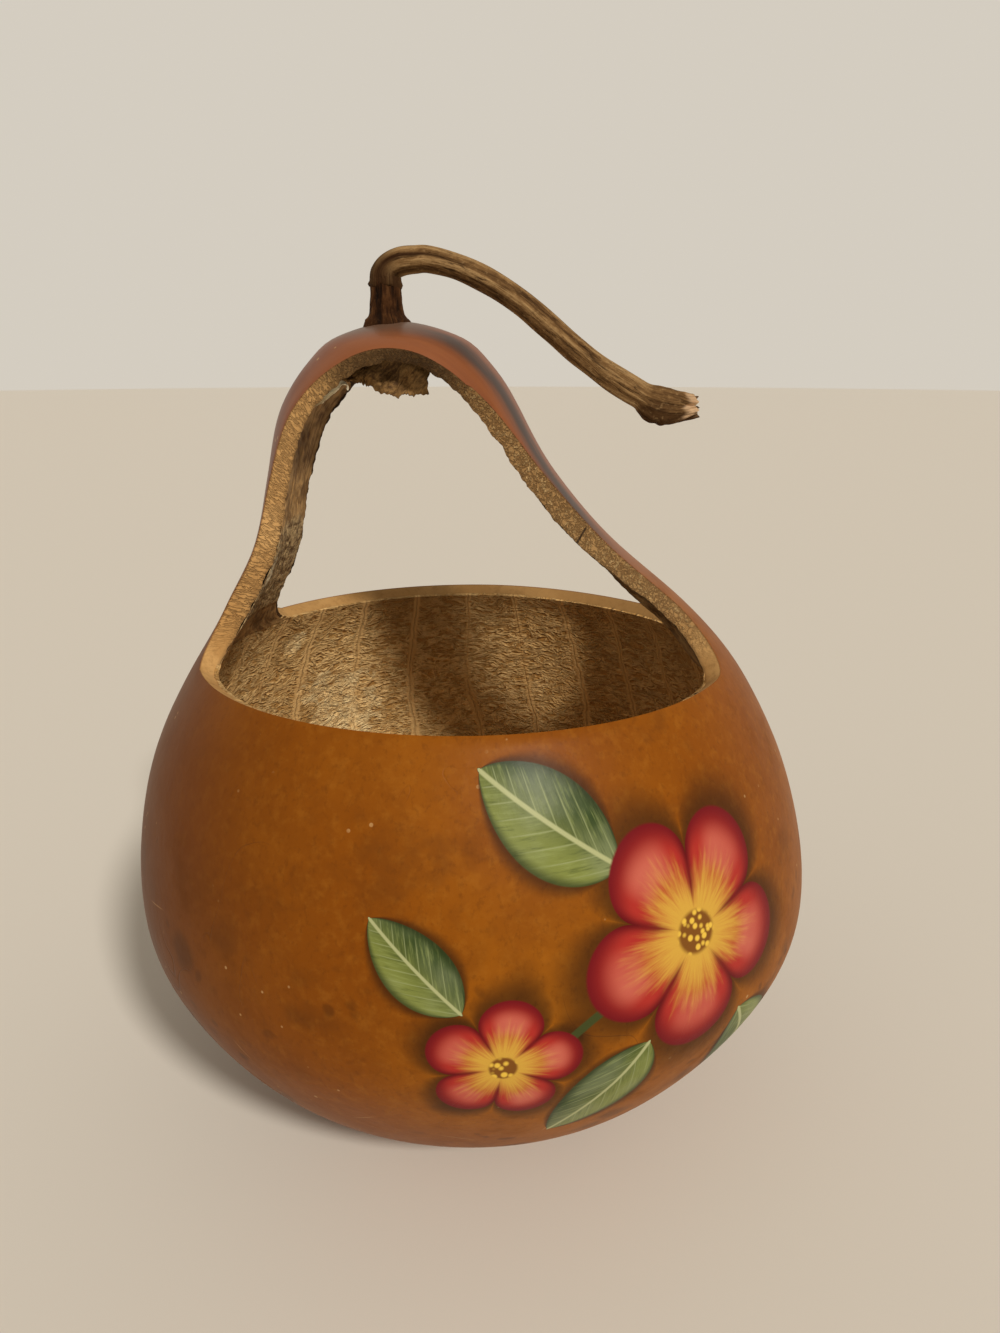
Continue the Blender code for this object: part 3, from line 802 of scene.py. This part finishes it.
def dried_bark(name, dark, mid, pale, tip=None):
    """Fibrous stem skin: ridges, long cracks, pale worn crests, and another colour where marked as tip."""
    f = Finish(name, 0.74, 0.07)
    grain, relief = f.attribute("grain", "Vector"), f.attribute("relief") - 0.5
    fibres = f.clouds(1, 5, 0.66, f.scaled(grain, (6.5, 6.5, 190)), 0.3)
    bands = f.clouds(1, 4, 0.62, f.scaled(grain, (2, 2, 80)), 0.3)
    cracks = abs(f.clouds(1, 2, 0.5, f.scaled(grain, (3, 3, 60)), 0.4) - 0.5).rise(0.035, 0.004)
    pits = f.clouds(620, 3, 0.62)
    coats = [
        ((fibres * 0.5 + bands * 0.5 + relief * 0.35).rise(0.32, 0.60), mid),
        ((fibres * 0.7 + bands * 0.3 + relief * 0.5).rise(0.50, 0.78) * 0.7, pale),
        (pits.rise(0.52, 0.72) * 0.40, dark),
        (pits.rise(0.46, 0.28) * 0.30, pale),
        (cracks * bands.rise(0.55, 0.40) * 0.75, tuple(0.4 * c for c in dark)),
    ]
    if tip:
        reach = (f.attribute("tip") + (fibres - 0.5) * 0.5 + (bands - 0.5) * 0.3).rise(0.15, 0.75)
        coats.append((reach * (0.86 + 0.14 * fibres.rise(0.65, 0.35)), tip))
    f.bump(fibres * 0.8 + pits * 0.25 + bands * 0.4 - cracks * 0.4, 0.6, 0.0010)
    return f.surface(f.layers(dark, *coats))


# Pieces


def bowl_outline():
    """Radius and height of the skin from the foot to the rim, in even small steps."""
    floor = [Vector((FOOT_RADIUS * i / 6, 0)) for i in range(1, 6)]
    heights = [blend(BELLY_HEIGHT, RIM_HEIGHT, i / BOWL_ROWS) for i in range(1, BOWL_ROWS + 1)]
    return floor + LOWER + [Vector((radius_at(z), z)) for z in heights]


def lean_over(piece):
    """Shifts every vertex of the upright gourd by the lean of its neck."""
    with editing(piece) as bm:
        for vert in bm.verts:
            vert.co.x += lean_at(vert.co.z)


def draw_strap(piece):
    """Extrudes the rim at the right over the arch, row by row, until it joins the rim at the left."""
    limit = half_width_at(RIM_HEIGHT, CORNER_RADIUS) * 1.02

    def starts_strap(edge):
        places = [vert.co for vert in edge.verts]
        return all(abs(co.z - RIM_HEIGHT) < 1e-5 and abs(co.y) < limit and co.x > 0 for co in places)

    choose(piece, "EDGE", starts_strap)
    shares = None
    for angle in ARCH_ANGLES[1:]:
        extrude_in_place()
        with editing(piece) as bm:
            row = sorted((vert for vert in bm.verts if vert.select), key=lambda vert: vert.co.y)
            if shares is None:
                widest = max(abs(vert.co.y) for vert in row)
                corner = widest - 0.5 * STRAP_WIDTH
                shares = [vert.co.y / widest for vert in row]
            for vert, share in zip(row, shares):
                vert.co = strap_point(angle, share, corner)
    face_outwards(0.0004)


def grow_unevenly(piece):
    """Spreads the left limb's foot and makes the wall as uneven as it grew."""
    with editing(piece) as bm:
        for vert in bm.verts:
            vert.co = spread_foot(vert.co)
        bm.normal_update()
        moves = [vert.normal * growth(vert.co) for vert in bm.verts]
        for vert, move in zip(bm.verts, moves):
            vert.co += move


def slant_right_cut(piece):
    """Sets the front edge of the right limb's skin back, so that the sawn face there turns outwards."""
    weights = group_weights(piece, "inside")
    for vert in piece.data.vertices:
        over_rim, under_crown = vert.co.z - RIM_HEIGHT - 0.002, CROWN_HEIGHT - 0.010 - vert.co.z
        limb = ease(over_rim / 0.020) * ease(under_crown / 0.030)
        if vert.co.x < 0 or limb == 0:
            continue
        across = -vert.co.y / half_width_at(vert.co.z, CORNER_RADIUS)
        axis = lean_at(vert.co.z)
        x, y = vert.co.x - axis, vert.co.y
        turn = RIGHT_SLANT * limb * ease((across - 0.3) / 0.7) * (1 - weights[vert.index]) / math.hypot(x, y)
        vert.co.x = axis + x * math.cos(turn) - y * math.sin(turn)
        vert.co.y = x * math.sin(turn) + y * math.cos(turn)


def sawn_vertices(piece):
    """Indices of the vertices on the sawn faces."""
    return {i for face in piece.data.polygons if face.material_index == 1 for i in face.vertices}


def roughen_edges(piece):
    """Breaks the inner edge of the cut and pits its face, leaving the skin's edge clean."""
    vertices = piece.data.vertices
    weights = group_weights(piece, "inside")
    normals = [Vector(vert.normal) for vert in vertices]
    for i in sawn_vertices(piece):
        if weights[i] < 0.05:
            continue
        point = vertices[i].co.copy()
        strap = ease((point.z - RIM_HEIGHT) / 0.02)
        rough = noise(point * 420) * 0.6 + noise(point * 950) * 0.4
        shift = normals[i] * rough * 0.00035 * (0.4 + 0.6 * strap)
        if weights[i] > 0.95:
            ragged = 0.7 * noise(point * 240) + 0.7 * noise(point * 620)
            inward = Vector((MOUTH.x - point.x, 0, 0.25 * (RIM_HEIGHT - point.z))).normalized()
            shift += inward * ragged * blend(0.0004, 0.0008, strap)
        vertices[i].co = point + shift


def model_gourd(skin, edge, wall):
    """Bowl spun from its outline, strap drawn over it, wall thickened inwards and its edges eased."""
    piece = spin_outline("gourd", bowl_outline(), 0, TURN_STEPS)
    lean_over(piece)
    draw_strap(piece)
    grow_unevenly(piece)
    close_edit()
    thickness = piece.vertex_groups.new(name="thickness")
    for vert in piece.data.vertices:
        thickness.add([vert.index], wall_at(vert.co) / BOWL_WALL, "REPLACE")
    piece.vertex_groups.new(name="inside")
    for finish in (skin, edge, wall):
        piece.data.materials.append(finish)
    modifier(
        piece, "SOLIDIFY", thickness=BOWL_WALL, offset=-1, vertex_group="thickness",
        shell_vertex_group="inside", material_offset=2, material_offset_rim=1, use_quality_normals=True,
    )
    bpy.ops.object.mode_set(mode="EDIT")
    choose(piece, "FACE", lambda face: face.material_index == 1)
    bpy.ops.mesh.subdivide(number_cuts=2)
    close_edit()
    slant_right_cut(piece)
    roughen_edges(piece)
    sharp = math.radians(50)
    modifier(piece, "BEVEL", width=EASED_EDGE, segments=2, limit_method="ANGLE", angle_limit=sharp)
    along = [arch_length(vert.co) for vert in piece.data.vertices]
    mark(piece, along=along, depth=group_weights(piece, "inside"))
    return settle(piece, "gourd_shell", ())


def rim_edge(gourd):
    """Places along the inner edge of the sawn rim, ready to be searched."""
    depths = group_weights(gourd, "inside")
    places = [gourd.data.vertices[i].co for i in sawn_vertices(gourd) if depths[i] > 0.9]
    places = [place for place in places if place.z < RIM_HEIGHT]
    tree = kdtree.KDTree(len(places))
    for i, place in enumerate(places):
        tree.insert(place, i)
    tree.balance()
    return tree


def inner_face(gourd):
    """Upper inside of the bowl's wall, ready to be searched."""
    inside = [face for face in gourd.data.polygons if face.material_index == 2]
    faces = [tuple(face.vertices) for face in inside if face.center.z > 0.7 * RIM_HEIGHT]
    return bvhtree.BVHTree.FromPolygons([vert.co for vert in gourd.data.vertices], faces)


def pith_outline():
    """Radius and height of the lining inside the bowl's wall, in fine rows, with a lip past the rim."""
    def outward(run):
        tangent = run.normalized()
        return Vector((tangent.y, -tangent.x))

    outline = bowl_outline()
    inner = []
    for before, here, after in zip(outline, outline[1:], outline[2:]):
        depth = blend(RIND + 1.5 * GAP, BOWL_WALL + 2 * GAP, ease((RIM_HEIGHT - here.y) / RIND_REACH))
        inner.append(here - outward(after - before) * depth)
    inner.append(outline[-1] - outward(outline[-1] - outline[-2]) * (RIND + 0.2 * GAP))
    run = [point for point in inner if point.x > PITH_HOLE]
    fine = []
    for a, b in zip(run, run[1:]):
        steps = max(1, round((b - a).length / PITH_ROW))
        fine += [a.lerp(b, i / steps) for i in range(steps)]
    return fine + [run[-1], run[-1] + Vector((1.3 * GAP, GAP))]


def pith_relief(place):
    """Height of the broad folds in the lining, 0 to 1."""
    around = math.atan2(place.y, place.x) * math.hypot(place.x, place.y)
    warp = noise((around * 45, place.z * 70, 3))
    folds = noise((place.x * 90, place.y * 90, place.z * 260 + 1.4 * warp))
    small = noise((place.x * 200, place.y * 200, place.z * 420 + 9))
    crest = (1 - min(1, abs(folds) * 2.2)) ** 1.5
    return min(1, 0.42 * crest + 0.40 * max(0, small + 0.25))


def tear_at(place):
    """How far the pith is torn at a place, 0 to 1."""
    ragged = 0.7 * noise(place * 70) + 0.45 * noise(place * 190)
    depths = [(reach * (1 + ragged) - (place - spot).length) / (0.4 * reach) for spot, reach in TORN_SPOTS]
    return max(ease(depth) for depth in depths)


def model_pith(gourd, finish):
    """Crinkled lining spun inside the bowl, its folds raised inwards and its top joined to the rim."""
    outline = pith_outline()
    corner = outline[-2].y
    piece = spin_outline("pith", outline, outline[0].y, PITH_STEPS)
    edge, wall = rim_edge(gourd), inner_face(gourd)
    reliefs, torn, places, columns, joins = [], [], [], [], {}
    with editing(piece) as bm:
        bm.normal_update()
        for vert in bm.verts:
            relief, tear = pith_relief(vert.co), tear_at(vert.co)
            crumbs = abs(noise(vert.co * 230)) + 0.6 * abs(noise(vert.co * 480))
            lift = (0.0010 * relief + 0.0026 * tear * crumbs) * ease((corner - vert.co.z) / 0.002)
            depth = blend(BOWL_WALL, RIND, ease((vert.co.z - corner) / RIND_REACH + 1))
            skin = vert.co + vert.normal * depth
            place = vert.co + vert.normal * (growth(skin) - lift) + Vector((lean_at(skin.z), 0, 0))
            column = round(math.atan2(vert.co.y, vert.co.x) / math.tau * PITH_STEPS) % PITH_STEPS
            if abs(vert.co.z - corner) < 0.3 * GAP:
                nearest, _, gap = edge.find(place)
                if gap < 0.004:
                    joins[column] = nearest - place
            reliefs.append(relief)
            torn.append(tear)
            columns.append(column)
            places.append(place)
        for vert, place, column in zip(bm.verts, places, columns):
            join = joins.get(column, Vector()) * ease(1 - (corner - vert.co.z) / 0.010)
            outward = Vector((vert.co.x, vert.co.y, 0)).normalized()
            fringe = 0.0003 + 0.0010 * noise(vert.co * 160) + 0.0006 * noise(vert.co * 420)
            if vert.co.z > corner + 0.3 * GAP:
                join += outward * max(fringe, 0)
            elif vert.co.z > corner - 0.3 * GAP:
                join -= outward * GAP
            place += join
            if 0.75 * RIM_HEIGHT < vert.co.z < corner - 0.3 * GAP:
                nearest, facing, _, _ = wall.find_nearest(place)
                place += facing * max(GAP - (place - nearest).dot(facing), 0)
            vert.co = place
    close_edit()
    mark(piece, relief=reliefs, torn=torn)
    modifier(piece, "SOLIDIFY", thickness=GAP, offset=1)
    return settle(piece, "pith_lining", (finish,), 80)


def thin_sheet(name, columns, rows, thickness, shape):
    """Piece from a grid: shape gives a vertex's place and marks from its shares across and up, 0 to 1."""
    deselect()
    bpy.ops.mesh.primitive_grid_add(x_subdivisions=columns, y_subdivisions=rows, size=1)
    piece = begin(name)
    marks = []
    with editing(piece) as bm:
        for vert in bm.verts:
            vert.co, marked = shape(vert.co.x + 0.5, vert.co.y + 0.5)
            marks.append(marked)
    face_outwards()
    close_edit()
    mark(piece, **{label: [marked[label] for marked in marks] for label in marks[0]})
    modifier(piece, "SOLIDIFY", thickness=thickness, offset=0)
    return piece


def model_handle_lining(name, node, slot, start, end, loose, finish):
    """Papery strip along the inside of a limb; a loose one leaves its front edge and crumbles lower down."""
    def shape(across, up):
        share = 2 * across - 1
        tear = 0.03 * noise((up * 30, share, 2)) + 0.03 * noise((up * 80, share, 4))
        set_in = loose * 0.22 * ease((up - 0.46) / 0.15) * ease(-share)
        side = share * (blend(0.93, 0.92, ease(0.5 + share)) - set_in + tear)
        torn_end = 0.05 * noise((share * 4, up * 3, 6)) * ease((up - 0.85) / 0.15)
        angle = blend(start, end, up) + (end - start) * torn_end
        point = spread_foot(strap_point(angle, side))
        outward = strap_normal(angle, min(max(side, -0.9), 0.9))
        folds = noise((side * 7, up * 46, 1)) + 0.7 * noise((side * 2.2, up * 8, 3))
        ridge = max(0, 1 - abs(noise((side * 3.4, up * 2, 9))) * 4)
        # fold height, which lifts the strip and which its finish paints paler as a highlight
        relief = min(1, max(0, 0.45 + 0.4 * folds + 0.3 * ridge))
        crumb = loose * ease((0.60 - up) / 0.16) * ease((up - 0.08) / 0.10)
        grit = 0.5 + 0.5 * noise(point * 420) + 0.3 * noise(point * 900)
        edge = 1 - abs(share)
        lift = ease(edge / 0.4) * (0.0009 * relief + 0.0007 * crumb * grit)
        lift += loose * 0.0005 * ease((up - 0.62) / 0.38)
        lift += (1 - loose) * 0.0030 * ease(edge / 0.25) * ease((0.55 - up) / 0.30) * ease(up / 0.05)
        fleck = math.hypot((point.z - 0.2145) / 0.0042, (side + 0.62) / 0.20)
        scrap = loose * ease(1.6 - fleck - 0.8 * noise(point * 500))
        place = point - outward * (wall_at(point) - growth(point) + 1.5 * GAP + lift)
        grain = side * 0.02, up * 0.12, 0
        return place, {"relief": relief, "grain": grain, "crumb": crumb, "scrap": scrap}

    return settle(thin_sheet(name, 36, 150, GAP, shape), node, (finish,), 70)


def crease(place):
    """Zigzag between 0 and 1, like paper folded to and fro."""
    return abs(place % 1 - 0.5) * 2


def model_crown_membrane(finish):
    """Torn flap that hangs under the crown, creased like folded paper and ragged along its lower edge."""
    low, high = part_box("crown_membrane")

    def shape(across, up):
        down = 1 - up
        x = blend(low.x, high.x, across)
        front = low.y + 0.0030 + 0.0012 * math.sin(7 * across)
        skin = skin_along(Vector((x, front, RIM_HEIGHT)), UP)
        top = min(skin.z - wall_at(skin) * 1.16 - GAP, high.z + 0.001)
        ragged = 0.05 * noise((across * 27, 2, 0)) + 0.05 * noise((across * 70, 5, 0))
        drop = FLAP_DROP * (line_height(FLAP_EDGE, across) + ragged)
        first, second = crease(1.5 * across - 0.9 * down + 0.10), crease(2.6 * across + 1.3 * down + 0.45)
        fold = 1.1 * first + 0.7 * second - 0.9 + 0.3 * noise((across * 9, down * 4, 3))
        x += 0.0011 * noise((down * 5, across, 8)) * ease(abs(across - 0.5) * 4 - 1)
        # relief marks the crease lines and the lower part of the flap, where the paper's finish paints a
        # highlight
        folded = max(0, 1 - 9 * min(1 - first, 1 - second)) * down
        relief = max(folded, 0.65 * ease((down - 0.40) / 0.5))
        grain = across * 0.03 + down * 0.012, down * 0.06 - across * 0.02, 0
        place = x, front - 0.0026 * fold * ease(down / 0.35), top - drop * down
        return place, {"relief": relief, "grain": grain}

    piece = thin_sheet("crown_flap", 72, 30, FLAP_THICKNESS, shape)
    return settle(piece, "crown_membrane", (finish,), 25)


def model_membrane_curl(finish):
    """Pale torn ribbon that stands off the left limb along its front edge and hooks over at its free end."""
    low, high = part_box("membrane_curl")
    middle = (low + high) * 0.5
    angle = math.atan2(middle.z - RIM_HEIGHT, middle.x - MOUTH.x)
    skin = strap_point(angle, -0.86)
    inward = -strap_normal(angle, -0.80)
    over = BACK.cross(-inward).normalized()
    across = inward.cross(over)
    seat = skin + inward * (wall_at(skin) + GAP)
    hook, curl = 0.62, 2.7

    def shape(along, share):
        run = min(along / hook, 1)
        roll = curl * max(along - hook, 0) / (1 - hook)
        radius = CURL_BEND * (1 - 0.25 * roll / curl)
        forward = blend(-0.0150, 0.0015, run) + radius * math.sin(roll)
        height = 0.0014 * run * run + (CURL_BEND - radius * math.cos(roll) if along > hook else 0)
        ragged = 0.35 * noise((along * 7, 4, 0)) + 0.14 * noise((along * 30, 1, 7))
        width = CURL_WIDTH * (0.45 + 0.55 * math.sin(math.pi * min(1, 0.12 + along))) * (1 + ragged * share)
        lean = 0.95 - 0.55 * ease((along - 0.55) / 0.30) + 0.35 * noise((along * 6, 2, share))
        cross = -across * math.cos(lean) + inward * math.sin(lean)
        if cross.y > 0:
            cross = across * math.cos(lean) + inward * math.sin(lean)
        place = seat + over * forward + inward * height + cross * share * width
        # relief rises towards the hooked end, which the paper's finish paints paler as a highlight
        return place, {"relief": 0.4 + 0.6 * along, "grain": (share * 0.02, along * 0.03, 0)}

    piece = thin_sheet("torn_curl", 80, 14, CURL_THICKNESS, shape)
    return settle(piece, "membrane_curl", (finish,), 70)


def stem_frames():
    """Centre, direction and distance travelled of each ring of the stem, from the post to the broken end."""
    top = Vector((lean_at(CROWN_HEIGHT) + POST_OFFSET, 0, CROWN_HEIGHT + POST_HEIGHT))
    line = [top + Vector((x, -FORWARD_BOW * x, z)) * STALK_REACH for x, z in STEM_LINE]
    run = smooth_run(line, STEM_STEPS)
    frames, travelled = [(run[0], UP, 0)], 0
    for before, here, after in zip(run, run[1:], run[2:] + [run[-1]]):
        travelled += (here - before).length
        frames.append((here, (after - before).normalized(), travelled))
    return frames


def draw_rings(name, rings):
    """Piece made from a circle that is extruded from ring to ring and capped at both ends."""
    deselect()
    bpy.ops.mesh.primitive_circle_add(vertices=len(rings[0]), radius=0.01, fill_type="NOTHING")
    piece = begin(name)
    order = None
    for ring in rings:
        if order:
            extrude_in_place()
        with editing(piece) as bm:
            chosen = [vert for vert in bm.verts if vert.select]
            if order:
                links = [(edge.other_vert(vert), vert) for vert in chosen for edge in vert.link_edges]
                ahead = {before: vert for before, vert in links if not before.select}
                order = [ahead[vert] for vert in order]
            else:
                order = sorted(chosen, key=lambda vert: math.atan2(vert.co.y, vert.co.x) % math.tau)
            for vert, point in zip(order, ring):
                vert.co = point
    choose(piece, "EDGE", lambda edge: edge.is_boundary)
    bpy.ops.mesh.edge_face_add()
    face_outwards()
    return piece


def ring_rays(sides):
    angles = [math.tau * k / sides for k in range(sides)]
    return [(math.cos(angle), math.sin(angle)) for angle in angles]


def stem_ring(centre, along, travelled, radius, depth, turn, sides, seed):
    """Point, relief and grain of each vertex of a ring with five ridges."""
    side = (BACK - along * BACK.dot(along)).normalized()
    up = side.cross(along)
    ring = []
    for k, (c, s) in enumerate(ring_rays(sides)):
        wave = math.cos(5 * math.tau * k / sides + turn)
        cord = noise((c * 2.6 + seed[0], s * 2.6, seed[1]))
        strand = noise((c * 6.5 + seed[0], s * 6.5, seed[1] * 1.6 + 4))
        relief = 0.5 * wave + 0.9 * cord + 0.7 * strand
        point = centre + (up * c + side * s) * radius * (1 + depth * relief)
        ring.append((point, min(1, max(0, 0.5 + 0.4 * relief)), (c, s, travelled)))
    return ring


def stalk_ring(centre, along, travelled, radius):
    """Ridged ring whose pattern runs on unbroken from the stalk into the vine."""
    turn, seed = 20 * travelled, (1, travelled * 26)
    return stem_ring(centre, along, travelled, radius, 0.085, turn, STEM_SIDES, seed)


def settle_stem(name, node, finish, rows):
    """Piece drawn through rows of vertices, each with its point, relief, grain and tip."""
    piece = draw_rings(name, [[point for point, *_ in row] for row in rows])
    close_edit()

    def key(point):
        return tuple(round(c, 6) for c in point)

    marks = {key(point): marked for row in rows for point, *marked in row}
    relief, grain, tip = zip(*(marks[key(vert.co)] for vert in piece.data.vertices))
    mark(piece, relief=relief, grain=grain, tip=tip)
    return settle(piece, node, (finish,), 60)


def model_stem_base(finish):
    """Dark ridged post that spreads over the crown."""
    centre = Vector((lean_at(CROWN_HEIGHT) + POST_OFFSET, 0, CROWN_HEIGHT))
    skirt = []
    for k, (c, s) in enumerate(ring_rays(POST_SIDES)):
        uneven = 0.10 * math.cos(5 * math.tau * k / POST_SIDES) + 0.10 * noise((c * 2, s * 2, 1))
        reach = POST_FOOT_RADIUS * (1 + uneven)
        start = Vector((centre.x + reach * c, reach * s, RIM_HEIGHT))
        skirt.append((skin_along(start, UP) - UP * GAP, 0.5, (c, s, 0), 0))
    rows = [skirt]
    for h, r in smooth_run([Vector(point) for point in POST_SHAPE], 4):
        rise = POST_HEIGHT * h
        place, radius = centre + UP * rise, POST_RADIUS * r
        ring = stem_ring(place, UP, rise, radius, 0.06, 0.6 * h, POST_SIDES, (3, h * 3))
        rows.append([(*entry, 0) for entry in ring])
    return settle_stem("stem_post", "stem_base", finish, rows)


def stalk_radius(travelled, total):
    """Radius of the stalk, a little stouter at both ends."""
    share = travelled / total
    swell = 0.12 * ease(1 - share / 0.3) + 0.16 * ease(1 - share / 0.06) + 0.10 * ease((share - 0.8) / 0.2)
    return STALK_RADIUS * (1 + swell + 0.05 * noise((travelled * 90, 0, 2)))


def stalk_hem(centre, row, low, flare):
    """Ring of the stalk's skin drawn over the post, with a knob on the left and a lip on the right."""
    hem = []
    for point, *marked in row:
        ray = point - centre
        left, right = max(-ray.normalized().x, 0) ** 4, max(ray.normalized().x, 0) ** 3
        drop = 0.0018 + 0.0010 * noise(point * 300) + 0.0008 * right
        hem.append((centre + ray * (flare + 0.10 * left + 0.06 * right) - UP * drop * low, *marked))
    return hem


def model_stem_stalk(finish):
    """Ridged stalk that bends over from the post and runs out to the vine, dark and grooved at its start."""
    frames = stem_frames()[:STALK_SPANS * STEM_STEPS + 1]
    total = frames[-1][2]
    rows = []
    for centre, along, travelled in frames:
        dark = 0.65 * ease(1 - travelled / 0.016)
        paler = 0.2 * ease((travelled / total - 0.70) / 0.30)
        row = []
        ring = stalk_ring(centre, along, travelled, stalk_radius(travelled, total))
        for k, (point, relief, grain) in enumerate(ring):
            off = math.tau * (k / STEM_SIDES - 0.75) + 0.5 - 10 * travelled
            groove = ease(1 - travelled / 0.045) * math.exp(-(off / 0.17) ** 2)
            row.append((point.lerp(centre, 0.09 * groove), relief + paler, grain, max(dark, groove)))
        rows.append(row)
    rows = [stalk_hem(frames[0][0], rows[0], *turn) for turn in ((1, 0.95), (0.6, 1.03))] + rows
    return settle_stem("stem_stalk_ridged", "stem_stalk", finish, rows)


def model_vine_stub(finish):
    """Knuckle of old vine with a lump below, broken off into pale splinters with a cleft between them."""
    frames = stem_frames()[STALK_SPANS * STEM_STEPS:]
    total, end = frames[0][2], frames[-1][2]
    rows = []
    for centre, along, travelled in frames:
        share = (travelled - total) / (end - total)
        radius = blend(stalk_radius(total, total), 0.94 * VINE_RADIUS, ease(share / 0.35))
        radius *= line_height(VINE_TAPER, share)
        knot = 0.30 * math.exp(-((share - 0.40) / 0.34) ** 4) * ease(share / 0.10)
        split = ease((share - 0.60) / 0.40)
        row = []
        for point, relief, grain in stalk_ring(centre, along, travelled, radius):
            ray = point - centre
            facing = ray.normalized()
            down, front = max(-facing.z, 0), max(-facing.y, 0)
            shreds = Vector((grain[0] * 2.1, grain[1] * 2.1, 1))
            lump = 1 + knot * down * (1 + 0.7 * noise(point * 350))
            lump *= 1 + 0.75 * split * noise(shreds * 1.7 + along * share) - 0.35 * split * front ** 3
            splinter = 0.0036 * split * noise(shreds + 2 * UP)
            worn = ease((share - 0.72) / 0.28 + 0.4 * noise(shreds * 1.3))
            # painted shade: relief is lowered near the knuckle's start, most of all on its underside, so the
            # bark is painted darker below
            relief += 0.2 - ease(share / 0.25) * (0.36 + 0.8 * down)
            tip = worn * min(1, 0.20 + 0.9 * front + 0.7 * noise(shreds * 2))
            row.append((centre + ray * lump + along * splinter, relief, grain, tip))
        rows.append(row)
    return settle_stem("vine_knuckle", "vine_stub", finish, rows)


# Stage


def pale_floor():
    material = Finish("pale_floor", 0.9, 0.1).surface((0.76, 0.72, 0.655))
    deselect()
    bpy.ops.mesh.primitive_circle_add(vertices=96, radius=8.4, fill_type="NGON")
    floor = begin("floor")
    bpy.ops.mesh.inset(thickness=2.8)
    close_edit()
    floor.data.materials.append(material)


def sun(name, azimuth, elevation, strength, softness, colour):
    """Even light from far away, turned from the front to the right and raised; softness blurs shadows."""
    data = bpy.data.lights.new(name, "SUN")
    data.energy = strength
    data.angle = math.radians(softness)
    data.color = colour
    lamp = bpy.data.objects.new(name, data)
    a, e = math.radians(azimuth), math.radians(elevation)
    direction = Vector((math.sin(a) * math.cos(e), -math.cos(a) * math.cos(e), math.sin(e)))
    lamp.rotation_euler = direction.to_track_quat("Z", "Y").to_euler()
    bpy.context.collection.objects.link(lamp)


def studio():
    """Pale surroundings, dimmer where they only light the gourd."""
    world = bpy.data.worlds.new("studio")
    world.use_nodes = True
    bpy.context.scene.world = world
    nodes = Nodes(world.node_tree)
    rays = ("Is Camera Ray", "Is Glossy Ray", "Is Transmission Ray")
    seen = reduce(Value.most, [nodes.node("ShaderNodeLightPath", {}, {}, ray) for ray in rays])
    colour = nodes.mix(seen, (0.34, 0.300, 0.245), (0.66, 0.61, 0.53))
    nodes.put(world.node_tree.nodes["Background"].inputs["Color"], colour)


def photo_camera():
    """Camera where the outline of the gourd puts it: level with the crown and looking down at the bowl."""
    turn, pitch = math.radians(2), math.radians(17.5)
    sideways, distance, height = 0.0097, 0.3642, 0.2872
    right = Vector((math.cos(turn), math.sin(turn), 0))
    ahead = Vector((-math.sin(turn), math.cos(turn), 0))
    data = bpy.data.cameras.new("photo_camera")
    data.sensor_width = 36
    data.lens = 36 * 1001 / 1333
    data.clip_start = 0.01
    camera = bpy.data.objects.new("photo_camera", data)
    camera.location = right * sideways - ahead * distance + UP * height
    camera.rotation_euler = (0.5 * math.pi - pitch, 0, turn)
    bpy.context.collection.objects.link(camera)
    bpy.context.scene.camera = camera


def dress_gourd():
    """Every piece of the gourd with its finish."""
    gourd = model_gourd(waxed_skin(), sawn_edge(), inner_wall())
    model_pith(gourd, crinkled_pith())
    crumbs = (0.145, 0.081, 0.034), (0.57, 0.402, 0.20)
    left_paper = papery("left_paper_fibres", (0.155, 0.077, 0.025), (0.52, 0.312, 0.126), 0.2, crumbs)
    right_paper = papery("right_paper_fibres", (0.100, 0.050, 0.017), (0.36, 0.22, 0.092))
    left, right = ([ARCH_ANGLES[row] for row in rows] for rows in (LEFT_STRIP_ROWS, RIGHT_STRIP_ROWS))
    model_handle_lining("left_paper_strip", "handle_lining_left", "left_paper", *left, 1, left_paper)
    model_handle_lining("right_paper_strip", "handle_lining_right", "right_paper", *right, 0, right_paper)
    model_crown_membrane(papery("membrane_fibres", (0.064, 0.029, 0.008), (0.27, 0.150, 0.050), 0.2))
    model_membrane_curl(papery("pale_membrane", (0.84, 0.60, 0.31), (1, 0.86, 0.55), 0.3))
    dark_wood = (0.011, 0.0040, 0.0012), (0.050, 0.018, 0.005), (0.13, 0.058, 0.020)
    model_stem_base(dried_bark("post_bark", *dark_wood))
    wood = (0.077, 0.037, 0.013), (0.208, 0.113, 0.042), (0.45, 0.288, 0.131)
    model_stem_stalk(dried_bark("stalk_bark", *wood, (0.034, 0.013, 0.004)))
    model_vine_stub(dried_bark("vine_bark", *wood, (0.64, 0.430, 0.255)))


bpy.context.scene.view_settings.view_transform = "Standard"
photo_camera()
sun("key", 30, 38, 2.36, 7, (1, 0.94, 0.85))
sun("fill", -35, 30, 0.14, 60, (1, 0.97, 0.93))
studio()
pale_floor()
dress_gourd()
